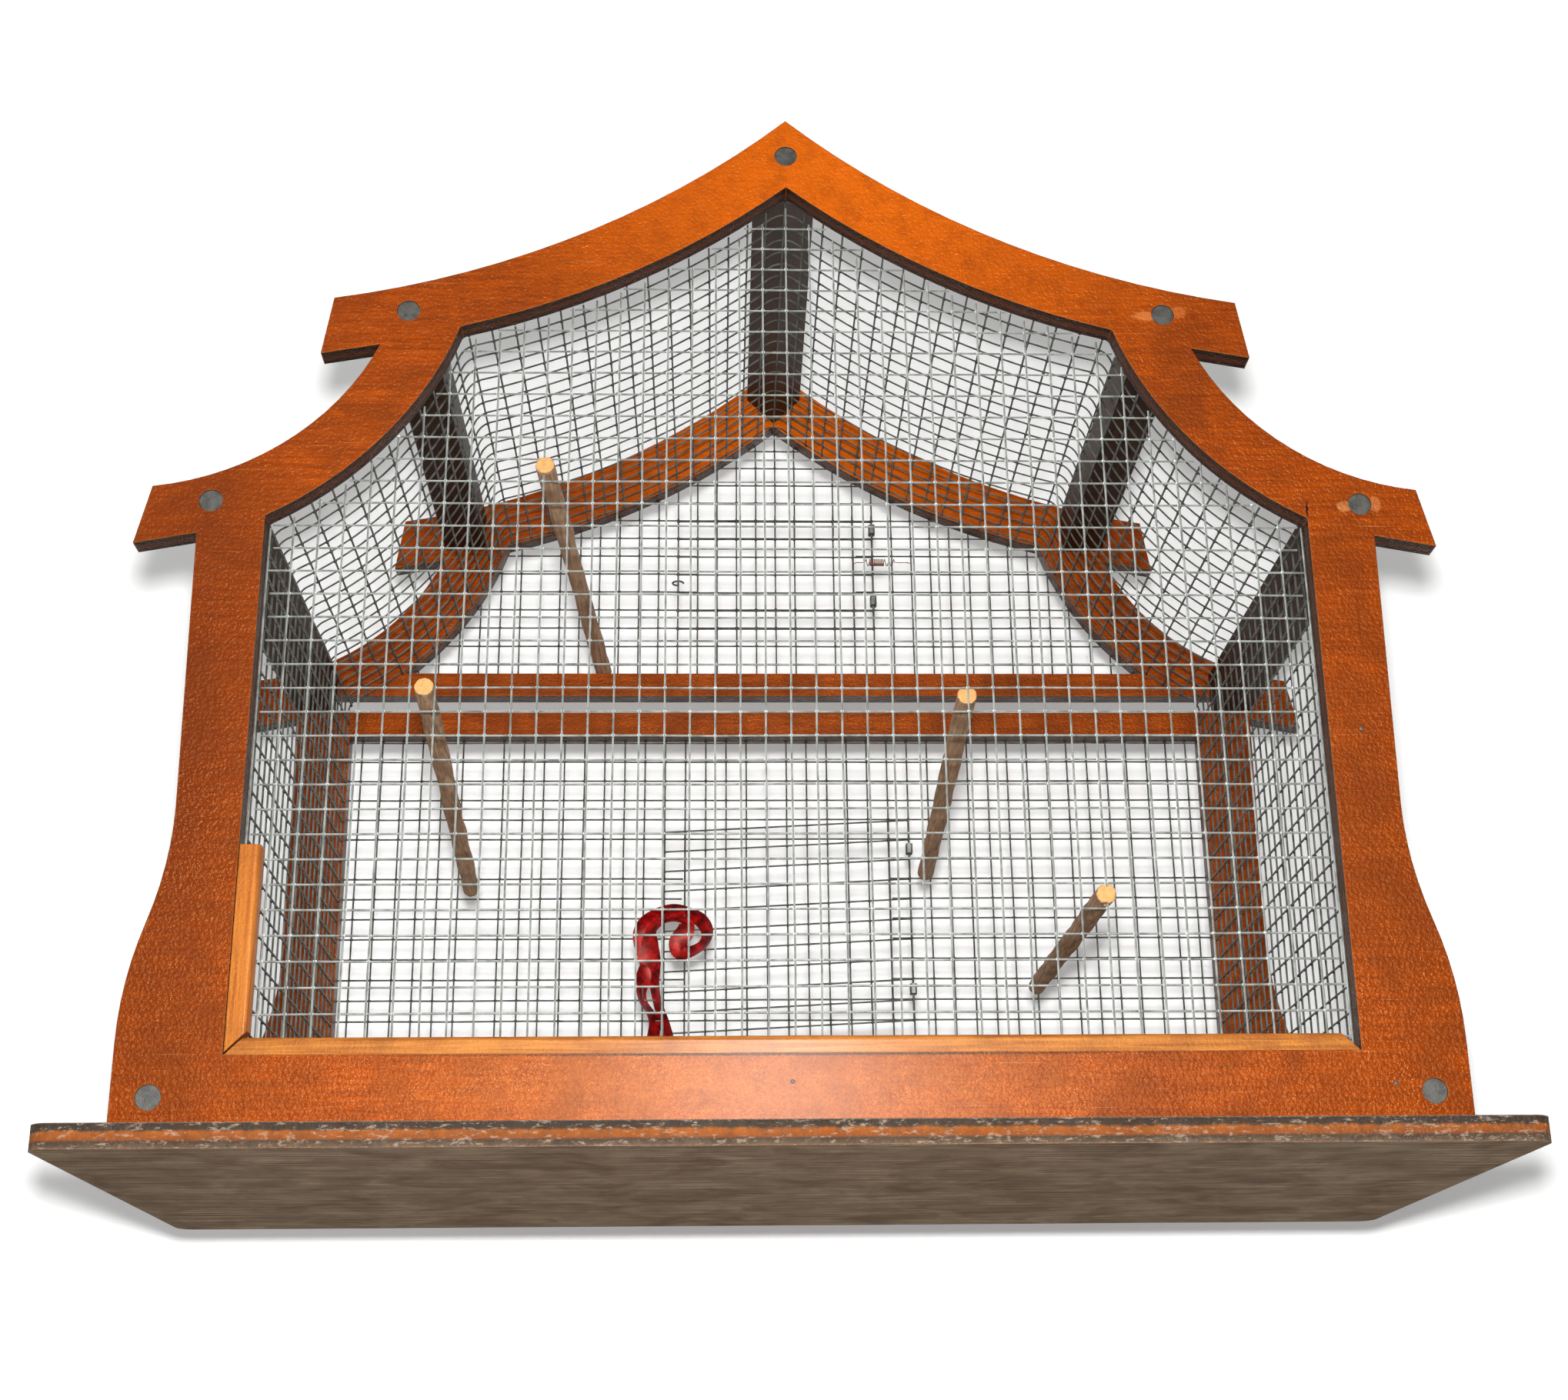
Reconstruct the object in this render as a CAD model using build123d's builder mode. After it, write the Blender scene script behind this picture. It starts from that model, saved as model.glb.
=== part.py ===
from build123d import *
from math import ceil, cos, pi, radians, sin, sqrt, tan
import os

# Wooden bird cage: plywood end frames with a two-step arched roof, dark rails between
# them, a plywood base, and welded wire net on every side. Two net doors are at the back.
# The origin is the middle of the underside of the base. The front faces -Y, +Z is up.
# Left and right are as seen from the front.

os.makedirs("parts", exist_ok=True)

# Clearances and sections
seat_gap = 0.3      # between a piece and what it lies against
cut_overrun = 5.0   # how far a cutting solid runs past the face that it cuts
wire_sides = 6      # of the section of a wire that is bent or wound

# Base board
base_depth = 308.0
base_thickness = 12.0
base_corner = 10.0
base_overhang = 8.0          # front and back, past the frames
base_side_overhang = 34.5    # left and right, past the frames' feet

# End frames: half sizes across from the middle, heights above the floor
frame_thickness = 12.0
opening_width = 533.4
stile_width = 31.8
sill_height = 44.2           # top of the bottom rail
apex_height = 558.8
roof_sag = 18.9              # how far the outer roof curve hangs below its chord
upper_notch_half = 213.7
upper_notch_height = 418.7
upper_eave_reach = 30.8
upper_eave_drop = 5.5
upper_eave_face = 33.1
upper_eave_lean = 5.1
wing_sag = 18.6
lower_notch_step = 2.0       # from the stile's edge out to the lower notch
lower_notch_height = 310.1
lower_eave_reach = 31.4
lower_eave_drop = 5.8
lower_eave_face = 31.8
lower_eave_lean = 7.1
flare_top_height = 165.0
flare_foot_height = 50.0
flare_reach = 18.5
inner_apex_height = 516.5
inner_roof_sag = 10.5
inner_corner_half = 172.2
inner_corner_height = 429.6
inner_wing_sag = 14.0
shoulder_height = 319.8

# Back frames: the gable part and the lower part stand apart by an open slit
slit_height = 314.4
slit_width = 11.3
lower_top_rail = 15.4
gable_bottom_rail = 15.1

# Rails from front to back
rail_size = 25.4
rail_edge = 0.8
ridge_rail_drop = 22.6       # rail centre below the apex
upper_rail_inset = 13.7      # rail centre inside the upper notch
upper_rail_rise = 20.1
lower_rail_inset = 9.5       # rail centre inside the stile's edge
lower_rail_rise = 17.9
sill_rail_step = 0.9         # rail centre outside the stile's edge

# Screws through the frames into the rail ends
screw_head = 11.8
screw_head_height = 3.2
screw_recess = 0.6
screw_shank = 4.0
screw_length = 32.0
screw_clearance = 0.15
lower_screw_shift = 5.7      # off the lower eave rail's centre

# Beads that hold the front net in the opening
bead_height = 8.5
bead_width = 10.0
bead_length = 102.0
bead_inset = 0.5             # bead face behind the frame face
bead_round = 2.5
bead_mitre_gap = 1.4

# Welded net: the solids draw every second, third or fourth wire of the real one
mesh_pitch = 12.7
wire = 1.2
net_thickness = 2.1
first_row_height = 65.5
front_net_step = 2
back_net_step = 3
wrap_net_step = 4
wrap_stand = 1.0             # wrap outside the edge of the opening
ridge_bend = 5.0             # roof panels stop short of the ridge rail's corner
corner_bend = 3.5            # eave panels stop short of the roof panels
net_lap = 12.0               # back nets over the back frames

# Gable door, counted in net squares
gable_door_hinge = 64.2
gable_door_bottom = 377.4
gable_door_columns = 10
gable_door_rows = 6
gable_door_tips = 5.2        # cut wire ends above the last row
gable_door_step = 1
gable_hole_columns = 8
gable_hole_rows = 4

# Lower door, counted in net squares
lower_door_hinge = 82.5
lower_door_bottom = 121.0    # at the hinge
lower_door_columns = 12
lower_door_rows = 10
lower_door_step = 2
lower_door_rack = 2.9        # degrees that the door has sagged out of square
lower_hole_columns = 10
lower_hole_rows = 8

# Hinge clips, squeezed round a door wire and a net wire, in squares above the door's foot
clip_height = 6.0
clip_wall = 0.7
gable_clip_shares = (1.5, 5.5)
lower_clip_shares = (1.5, 8.5)

# Wire hook that holds the gable door shut
hook_wire = 1.2
hook_share = 2.5             # in squares above the door's foot
hook_open_angle = 80         # degrees left open in its curl

# Closing spring across the hinge of the gable door
spring_wire = 0.6
spring_radius = 2.2
spring_left_turns = 1
spring_tight_turns = 5
spring_right_turns = 2
spring_tight_pitch = 1.3
spring_loose_pitch = 3.2
spring_share = 3.5           # in squares above the door's foot
gap_samples_per_edge = 6

# Perches, in squares of the front net across from its left and up from its first row
perch_diameter = 10.0
perch_proud = 4.0            # front ends past the back of the front net
perch_slot = 1.8             # saw cut that straddles a net wire
perch_slot_depth = 7.0
perch_whittle = 2.4
upper_left_start_shares = (5.5, 11.31)
upper_left_drift_share = 0.67
middle_left_start_shares = (3.26, 6.48)
middle_left_drift_shares = (-0.21, -1.07)
middle_right_start_shares = (14.0, 6.37)
middle_right_drift_shares = (0.13, -0.6)
lower_right_start_shares = (16.5, 2.25)
lower_right_drift_shares = (0.22, 0.7)

# Ribbon that ties the lower door to the net, in net squares from the door's lower left
ribbon_width = 7.0
ribbon_thickness = 1.4
ribbon_bend = 4.5
ribbon_arch_shares = ((1.5, 4.1), (0.9, 5.75), (-0.75, 5.5), (-1.2, 4.15), (-0.75, 3.0))
ribbon_left_tail_shares = ((-0.75, 3.0), (-1.0, 1.6), (-0.3, 0.5), (-0.25, -0.3))
ribbon_right_tail_shares = ((-0.75, 3.0), (0.05, 1.6), (0.35, 0.5), (0.4, -0.3))
ribbon_loop_shares = ((0.9, 3.6), (1.9, 3.9), (2.6, 4.6), (2.3, 5.4), (0.9, 5.75))
ribbon_knot = 14.0
ribbon_knot_share = 3.3      # in squares above the door's foot

# Places worked out from the sizes above
opening_half = opening_width / 2
stile_half = opening_half + stile_width
foot_half = stile_half + flare_reach
base_width = 2 * (foot_half + base_side_overhang)
frame_face = base_depth / 2 - base_overhang
frame_inner = frame_face - frame_thickness
rail_length = 2 * frame_inner
slit_top = slit_height + slit_width
lower_window_top = slit_height - lower_top_rail
gable_window_bottom = slit_top + gable_bottom_rail
net_half = opening_half - seat_gap
wire_half = wire / 2
door_inner = frame_face + net_thickness + seat_gap
door_axis = door_inner + net_thickness / 2
hinge_sweep = sqrt(wire**2 + net_thickness**2) / 2 + seat_gap / 2
front_cell_height = front_net_step * mesh_pitch
front_columns = round(opening_width / front_cell_height)
front_cell_width = (2 * net_half - wire) / front_columns
back_cell = back_net_step * mesh_pitch


def finish(part, name):
    """Label a finished piece and write it out"""
    part.label = name
    export_step(part, f"parts/{name}.step")


def half_outer_edge():
    """Right half of a frame's outer edge, from the apex down to the base board"""
    upper_tip = (upper_notch_half + upper_eave_reach, upper_notch_height - upper_eave_drop)
    lower_notch = (stile_half + lower_notch_step, lower_notch_height)
    lower_tip = (lower_notch[0] + lower_eave_reach, lower_notch_height - lower_eave_drop)
    flare_middle = (stile_half + flare_reach / 2, (flare_top_height + flare_foot_height) / 2)
    roof = SagittaArc(
        (0, apex_height),
        (upper_tip[0] - upper_eave_lean, upper_tip[1] + upper_eave_face),
        -roof_sag,
    )
    Polyline(roof @ 1, upper_tip, (upper_notch_half, upper_notch_height))
    wing = SagittaArc(
        (upper_notch_half, upper_notch_height),
        (lower_tip[0] - lower_eave_lean, lower_tip[1] + lower_eave_face),
        -wing_sag,
    )
    Polyline(wing @ 1, lower_tip, lower_notch, (stile_half, flare_top_height))
    upper_flare = TangentArc((stile_half, flare_top_height), flare_middle, tangent=(0, -1))
    TangentArc(flare_middle, (foot_half, flare_foot_height), tangent=upper_flare % 1)
    Polyline((foot_half, flare_foot_height), (foot_half, base_thickness), (0, base_thickness))


def outer_face():
    """Face inside a frame's outer edge, standing on the base board"""
    with BuildLine() as edge:
        half_outer_edge()
        mirror(about=Plane.YZ)
    make_face(edge.line)


def opening_face(mode=Mode.ADD):
    """Face of the opening in an end frame, above the bottom rail"""
    with BuildLine() as edge:
        roof = SagittaArc(
            (0, inner_apex_height), (inner_corner_half, inner_corner_height), -inner_roof_sag
        )
        wing = SagittaArc(roof @ 1, (opening_half, shoulder_height), -inner_wing_sag)
        Polyline(wing @ 1, (opening_half, sill_height), (0, sill_height))
        mirror(about=Plane.YZ)
    make_face(edge.line, mode=mode)


def band(bottom, top, half_width, mode=Mode.ADD):
    """Rectangle between two heights, centred across"""
    with Locations((0, (bottom + top) / 2)):
        Rectangle(2 * half_width, top - bottom, mode=mode)


def roof_screws():
    """Screw centres in the upper part of a frame, as (across, height) pairs"""
    upper = (upper_notch_half - upper_rail_inset, upper_notch_height + upper_rail_rise)
    lower = (
        stile_half - lower_rail_inset + lower_screw_shift,
        lower_notch_height + lower_rail_rise,
    )
    pairs = [(side * across, height) for side in (-1, 1) for across, height in (upper, lower)]
    return [(0, apex_height - ridge_rail_drop)] + pairs


def sill_screws():
    """Screw centres in the feet of a frame, as (across, height) pairs"""
    height = base_thickness + rail_size / 2
    return [(side * (stile_half + sill_rail_step), height) for side in (-1, 1)]


def drill(places, end):
    """Drill and counterbore a frame from its outer face; end is 1 in front, -1 at the back"""
    for radius, depth in (
        (screw_head / 2, screw_recess + screw_head_height),
        (screw_shank / 2, frame_thickness),
    ):
        with BuildSketch(Plane.XZ.offset(end * frame_face)) as holes:
            with Locations(*places):
                Circle(radius + screw_clearance)
        extrude(holes.sketch, amount=-end * depth, mode=Mode.SUBTRACT)


def screws(name, places, end):
    """Wood screws turned in just below the face of a frame"""
    with BuildPart() as piece:
        for radius, length in ((screw_head / 2, screw_head_height), (screw_shank / 2, screw_length)):
            with BuildSketch(Plane.XZ.offset(end * (frame_face - screw_recess))):
                with Locations(*places):
                    Circle(radius)
            extrude(amount=-end * length)
    finish(piece.part, name)


def rail(name, across, height, turn=0, screw_shift=0):
    """Square rail from the front frame to the back one, drilled at both ends"""
    pilot = screw_length - frame_thickness + screw_recess + seat_gap
    with BuildPart() as piece:
        with BuildSketch(Plane.XZ.offset(frame_inner)):
            with Locations((across, height)):
                Rectangle(rail_size, rail_size, rotation=turn)
        extrude(amount=-rail_length)
        chamfer(piece.edges().filter_by(Axis.Y), rail_edge)
        for end in (-1, 1):
            with BuildSketch(Plane.XZ.offset(end * frame_inner)):
                with Locations((across + screw_shift, height)):
                    Circle(screw_shank / 2 + screw_clearance)
            extrude(amount=-end * pilot, mode=Mode.SUBTRACT)
    finish(piece.part, name)


def cut_gaps(start, counts, cell, rack=0):
    """Cut a grid of gaps out of the sketch under way, and leave the wires between them"""
    across, up = cell
    slope = tan(radians(rack))
    half, rise, lean = (across - wire) / 2, (up - wire) / 2, slope * (across - wire) / 2
    centres = [
        (
            start[0] + (column + 0.5) * across,
            start[1] + (row + 0.5) * up + slope * (column + 0.5) * across,
        )
        for column in range(counts[0])
        for row in range(counts[1])
    ]
    corners = [(-half, -rise - lean), (half, -rise + lean), (half, rise + lean), (-half, rise - lean)]
    with Locations(*centres):
        Polygon(*corners, align=None, mode=Mode.SUBTRACT)


def wired_hole(left, bottom, width, height):
    """Leave a door hole in the net under way, closed all round by its outermost wires"""
    with Locations((left + width / 2, bottom + height / 2)):
        Rectangle(width + wire, height + wire)
        Rectangle(width - wire, height - wire, mode=Mode.SUBTRACT)


def back_net(name, outline, hinge, door_bottom, hole_columns, hole_rows):
    """Net over a back window, with a wire beside the hinge and a hole under the door"""
    hole_left = hinge - (hole_columns + 1) * mesh_pitch
    hole_bottom = door_bottom + mesh_pitch
    box = outline.bounding_box()
    skipped_columns = ceil((hinge - box.min.X) / back_cell)
    skipped_rows = ceil((hole_bottom - box.min.Y) / back_cell)
    start = (hinge - skipped_columns * back_cell, hole_bottom - skipped_rows * back_cell)
    counts = (ceil((box.max.X - start[0]) / back_cell), ceil((box.max.Y - start[1]) / back_cell))
    with BuildPart() as piece:
        with BuildSketch(Plane.XZ.offset(-(frame_face + net_thickness))):
            add(outline)
            cut_gaps(start, counts, (back_cell, back_cell))
            wired_hole(
                hole_left, hole_bottom, hole_columns * mesh_pitch, hole_rows * mesh_pitch
            )
        extrude(amount=net_thickness)
    finish(piece.part, name)


def wrap_panel(name, side, start, end, sag, trim=0):
    """Panel of the wrapped net between the frames, bent like the edge of the opening"""
    run = Vector(end[0] - start[0], end[1] - start[1])
    out = Vector(-run.Y, run.X).normalized()
    stand = out * (wrap_stand + net_thickness / 2)
    first, last = Vector(*start) + stand, Vector(*end) + stand
    length = run.length - trim
    centre = (first + last + run.normalized() * trim) * 0.5
    cells_along = round(length / (wrap_net_step * mesh_pitch))
    cells_deep = round(rail_length / (wrap_net_step * mesh_pitch))
    along, deep = (length - wire) / cells_along, (rail_length - wire) / cells_deep
    chord = Plane(
        origin=(side * centre.X, 0, centre.Y),
        x_dir=(side * run.X, 0, run.Y),
        z_dir=(side * out.X, 0, out.Y),
    )
    with BuildPart() as piece:
        with BuildSketch(Plane.XZ.offset(frame_inner)):
            with BuildLine():
                ends = (side * first.X, first.Y), (side * last.X, last.Y)
                if sag:
                    bend = SagittaArc(*ends, -side * sag, mode=Mode.PRIVATE)
                    add(bend.trim(trim / run.length, 1))
                else:
                    Line(*ends)
            trace(line_width=net_thickness)
        extrude(amount=-rail_length)
        with BuildSketch(chord):
            with GridLocations(along, deep, cells_along, cells_deep):
                Rectangle(along - wire, deep - wire)
        extrude(amount=sag + cut_overrun, both=True, mode=Mode.SUBTRACT)
    finish(piece.part, name)


def door(name, hinge, bottom, columns, rows, step, tips=0, rack=0):
    """Flap of net on the back, hung on the wire at its right-hand edge"""
    slope = tan(radians(rack))
    width = columns * mesh_pitch
    left, right = -width - wire_half, wire_half
    top = bottom + rows * mesh_pitch + (tips or wire_half)
    foot = bottom - wire_half
    corners = [
        (hinge + across, height + slope * across)
        for across, height in ((left, foot), (right, foot), (right, top), (left, top))
    ]
    with BuildPart() as piece:
        with BuildSketch(Plane.XZ.offset(-(door_inner + net_thickness))):
            Polygon(*corners, align=None)
            cut_gaps(
                (hinge - width, bottom - slope * width),
                (columns // step, rows // step + (1 if tips else 0)),
                (step * mesh_pitch, step * mesh_pitch),
                rack,
            )
        extrude(amount=net_thickness)
    finish(piece.part, name)


def hinge_clips(name, hinge, bottom, shares):
    """Clips squeezed round the door's hinge wire and the net wire beside it"""
    inside, outside = frame_face - seat_gap, door_axis + hinge_sweep
    with BuildPart() as piece:
        for share in shares:
            with BuildSketch(Plane.XY.offset(bottom + share * mesh_pitch - clip_height / 2)):
                with Locations((hinge, (inside + outside) / 2)):
                    RectangleRounded(
                        2 * (hinge_sweep + clip_wall),
                        outside - inside + 2 * clip_wall,
                        hinge_sweep,
                    )
                    RectangleRounded(
                        2 * hinge_sweep,
                        outside - inside,
                        hinge_sweep - clip_wall,
                        mode=Mode.SUBTRACT,
                    )
            extrude(amount=clip_height)
    finish(piece.part, name)


def biarc(start, start_way, end, end_way):
    """Two arcs that leave one point along its way and reach the next along its own"""
    gap, ways = end - start, start_way + end_way
    bend = 2 * (1 - start_way.dot(end_way))
    reach = (sqrt(gap.dot(ways) ** 2 + bend * gap.dot(gap)) - gap.dot(ways)) / bend
    joint = (start + end + (start_way - end_way) * reach) * 0.5
    first = TangentArc(start, joint, tangent=start_way)
    TangentArc(joint, end, tangent=first % 1)


def spring_stations(start_x, centre_y, centre_z, coils):
    """Points and ways on the spring's coils, half a turn apart"""
    stations, x, turn = [], start_x, 0
    for turns, pitch in coils + ((0.5, spring_loose_pitch),):
        for _ in range(round(2 * turns)):
            point = Vector(
                x, centre_y - spring_radius * cos(turn), centre_z + spring_radius * sin(turn)
            )
            way = Vector(pitch / (2 * pi * spring_radius), sin(turn), cos(turn)).normalized()
            stations.append((point, way))
            x += pitch / 2
            turn += pi
    return stations


def least_self_gap(route, wire_size):
    """Least gap between turns of a wire, measured on points along its route"""
    points = [edge @ (i / gap_samples_per_edge) for edge in route for i in range(gap_samples_per_edge)]
    apart = 2 * gap_samples_per_edge
    return min(
        (points[i] - points[j]).length
        for i in range(len(points))
        for j in range(i + apart, len(points))
    ) - wire_size


def dowel(name, start_shares, end, slotted, whittled, proud):
    """Perch pushed through the front net, from a place in its squares to a point at the back"""
    start = Vector(
        -net_half + wire_half + start_shares[0] * front_cell_width,
        -frame_inner - proud,
        first_row_height + start_shares[1] * front_cell_height,
    )
    run = Vector(*end) - start
    with BuildPart() as piece:
        with BuildSketch(Plane(origin=start, x_dir=(1, 0, 0), z_dir=run)):
            Circle(perch_diameter / 2)
        extrude(amount=run.length)
        if slotted:
            with BuildSketch(Plane(origin=start, x_dir=(1, 0, 0), z_dir=run)):
                Rectangle(perch_slot, 2 * perch_diameter)
            extrude(amount=perch_slot_depth, mode=Mode.SUBTRACT)
        if whittled:
            back_edge = piece.edges().filter_by(GeomType.CIRCLE).sort_by(Axis.Y)[-1]
            chamfer(back_edge, perch_whittle)
    finish(piece.part, name)


def shifted(start_shares, drift_shares):
    """Back end of a perch, drifted from its front end by shares of a net square"""
    return (
        -net_half + wire_half + (start_shares[0] + drift_shares[0]) * front_cell_width,
        frame_face - seat_gap,
        first_row_height + (start_shares[1] + drift_shares[1]) * front_cell_height,
    )


# Base board
with BuildPart() as base_board:
    with BuildSketch():
        RectangleRounded(base_width, base_depth, base_corner)
    extrude(amount=base_thickness)
finish(base_board.part, "base_board")

# Front frame
with BuildPart() as front_frame:
    with BuildSketch(Plane.XZ.offset(frame_inner)):
        outer_face()
        opening_face(mode=Mode.SUBTRACT)
    extrude(amount=frame_thickness)
    drill(roof_screws() + sill_screws(), 1)
finish(front_frame.part, "front_frame")

# Back frames, with the windows that their nets cover
with BuildSketch() as gable_window:
    opening_face()
    band(gable_window_bottom, apex_height, opening_half, mode=Mode.INTERSECT)

with BuildSketch() as lower_window:
    band(sill_height, lower_window_top, opening_half)

with BuildPart() as back_gable_frame:
    with BuildSketch(Plane.XZ.offset(-frame_face)):
        outer_face()
        add(gable_window.sketch, mode=Mode.SUBTRACT)
        band(0, slit_top, stile_half + lower_notch_step, mode=Mode.SUBTRACT)
        band(0, lower_notch_height - lower_eave_drop, foot_half, mode=Mode.SUBTRACT)
    extrude(amount=frame_thickness)
    drill(roof_screws(), -1)
finish(back_gable_frame.part, "back_gable_frame")

with BuildSketch() as lower_part:
    band(base_thickness, flare_top_height, foot_half)
    band(flare_top_height, slit_height, stile_half + lower_notch_step)

with BuildPart() as back_lower_frame:
    with BuildSketch(Plane.XZ.offset(-frame_face)):
        outer_face()
        add(lower_part.sketch, mode=Mode.INTERSECT)
        add(lower_window.sketch, mode=Mode.SUBTRACT)
    extrude(amount=frame_thickness)
    drill(sill_screws(), -1)
finish(back_lower_frame.part, "back_lower_frame")

# Rails
rail("ridge_rail", 0, apex_height - ridge_rail_drop, turn=45)
for side, hand in ((-1, "left"), (1, "right")):
    rail(
        f"upper_eave_rail_{hand}",
        side * (upper_notch_half - upper_rail_inset),
        upper_notch_height + upper_rail_rise,
    )
    rail(
        f"lower_eave_rail_{hand}",
        side * (stile_half - lower_rail_inset),
        lower_notch_height + lower_rail_rise,
        screw_shift=side * lower_screw_shift,
    )
    rail(f"sill_rail_{hand}", side * (stile_half + sill_rail_step), base_thickness + rail_size / 2)

# Screws
screws("front_frame_screws", roof_screws() + sill_screws(), 1)
screws("back_frame_screws", roof_screws() + sill_screws(), -1)

# Beads in front of the front net
bead_front = frame_face - bead_inset
bead_depth = bead_front - frame_inner - net_thickness - seat_gap
with BuildPart() as bottom_bead:
    with BuildSketch(Plane.XZ.offset(bead_front)):
        with Locations((0, sill_height + bead_height / 2)):
            Trapezoid(2 * net_half, bead_height, 45)
    extrude(amount=-bead_depth)
    top_front = bottom_bead.edges().filter_by(Axis.X).group_by(Axis.Y)[0].sort_by(Axis.Z)[-1]
    fillet(top_front, bead_round)
finish(bottom_bead.part, "bottom_bead")

with BuildPart() as left_bead:
    with BuildSketch(Plane.XZ.offset(bead_front)):
        foot = sill_height + bead_mitre_gap
        Polygon(
            (-net_half, foot),
            (-net_half + bead_width, foot + bead_width),
            (-net_half + bead_width, sill_height + bead_length),
            (-net_half, sill_height + bead_length),
            align=None,
        )
    extrude(amount=-bead_depth)
    inner_front = left_bead.edges().filter_by(Axis.Z).group_by(Axis.Y)[0].sort_by(Axis.X)[-1]
    fillet(inner_front, bead_round)
finish(left_bead.part, "left_bead")

# Front net, in the rear of the opening, its cut wire ends just short of the frame
front_rows = ceil((inner_apex_height - first_row_height) / front_cell_height) + 1
with BuildPart() as front_mesh:
    with BuildSketch(Plane.XZ.offset(frame_inner)):
        opening_face()
        offset(amount=-seat_gap, kind=Kind.INTERSECTION)
        cut_gaps(
            (-net_half + wire_half, first_row_height - front_cell_height),
            (front_columns, front_rows),
            (front_cell_width, front_cell_height),
        )
    extrude(amount=net_thickness)
finish(front_mesh.part, "front_mesh")

# Net wrapped over the cage between the frames
for side, hand in ((-1, "left"), (1, "right")):
    apex = (0, inner_apex_height)
    corner = (inner_corner_half, inner_corner_height)
    shoulder = (opening_half, shoulder_height)
    foot = (opening_half, base_thickness + seat_gap)
    wrap_panel(f"roof_mesh_{hand}", side, apex, corner, inner_roof_sag, trim=ridge_bend)
    wrap_panel(f"eave_mesh_{hand}", side, corner, shoulder, inner_wing_sag, trim=corner_bend)
    wrap_panel(f"side_mesh_{hand}", side, shoulder, foot, 0)

# Back nets, nailed on the outer faces of the back frames
with BuildSketch() as gable_net_outline:
    add(gable_window.sketch)
    offset(amount=net_lap)

with BuildSketch() as lower_net_outline:
    add(lower_window.sketch)
    offset(amount=net_lap)

back_net(
    "gable_mesh", gable_net_outline.sketch, gable_door_hinge, gable_door_bottom,
    gable_hole_columns, gable_hole_rows,
)
back_net(
    "lower_back_mesh", lower_net_outline.sketch, lower_door_hinge, lower_door_bottom,
    lower_hole_columns, lower_hole_rows,
)

# Doors and their clips
door(
    "gable_door", gable_door_hinge, gable_door_bottom, gable_door_columns, gable_door_rows,
    gable_door_step, tips=gable_door_tips,
)
door(
    "lower_door", lower_door_hinge, lower_door_bottom, lower_door_columns, lower_door_rows,
    lower_door_step, rack=lower_door_rack,
)
hinge_clips("gable_door_clips", gable_door_hinge, gable_door_bottom, gable_clip_shares)
hinge_clips("lower_door_clips", lower_door_hinge, lower_door_bottom, lower_clip_shares)

# Hook, curled round the free edge of the gable door and the net wire behind it
hook_centre = (frame_face + door_inner + net_thickness) / 2
hook_curl = sqrt((door_inner + net_thickness - frame_face) ** 2 + wire**2) / 2 + hook_wire
hook_x = gable_door_hinge - gable_door_columns * mesh_pitch
hook_z = gable_door_bottom + hook_share * mesh_pitch
with BuildPart() as gable_door_hook:
    with BuildLine(Plane(origin=(hook_x, hook_centre, hook_z))) as curl:
        CenterArc((0, 0), hook_curl, hook_open_angle, 360 - hook_open_angle)
    with BuildSketch(Plane(origin=curl.line @ 0, z_dir=curl.line % 0)):
        RegularPolygon(hook_wire / 2, wire_sides)
    sweep(path=curl.line)
finish(gable_door_hook.part, "gable_door_hook")

# Closing spring, one unbroken wire from the door's side of the hinge to the net
spring_start = gable_door_hinge - mesh_pitch
spring_end = gable_door_hinge + 2 * mesh_pitch
spring_y = frame_face - seat_gap - spring_radius - spring_wire
spring_z = gable_door_bottom + spring_share * mesh_pitch
spring_coils = (
    (spring_left_turns, spring_loose_pitch),
    (spring_tight_turns, spring_tight_pitch),
    (spring_right_turns, spring_loose_pitch),
)
coil_length = sum(turns * pitch for turns, pitch in spring_coils)
coil_start = (spring_start + spring_end - coil_length) / 2
with BuildPart() as gable_door_spring:
    with BuildLine() as spring_route:
        turn_in = frame_face - seat_gap - spring_y
        stations = spring_stations(coil_start, spring_y, spring_z, spring_coils)
        hook_in = TangentArc(
            (spring_start, spring_y + turn_in, spring_z),
            (spring_start + turn_in, spring_y, spring_z),
            tangent=(0, -1, 0),
        )
        leg_end = Vector(coil_start - spring_radius, spring_y, spring_z)
        Line(hook_in @ 1, leg_end)
        biarc(leg_end, Vector(1, 0, 0), *stations[0])
        for here, there in zip(stations, stations[1:]):
            biarc(*here, *there)
        leg_start = Vector(coil_start + coil_length + spring_radius, spring_y, spring_z)
        biarc(*stations[-1], leg_start, Vector(1, 0, 0))
        leg_out = Line(leg_start, (spring_end - turn_in, spring_y, spring_z))
        TangentArc(
            leg_out @ 1, (spring_end, spring_y + turn_in, spring_z), tangent=(1, 0, 0)
        )
    with BuildSketch(Plane(origin=spring_route.line @ 0, z_dir=spring_route.line % 0)):
        RegularPolygon(spring_wire / 2, wire_sides)
    sweep(path=spring_route.wires()[0])
finish(gable_door_spring.part, "gable_door_spring")
self_gap = least_self_gap(spring_route.wires()[0].edges(), spring_wire)
print(f"closing spring: least gap to itself {self_gap:.2f} mm")

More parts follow.
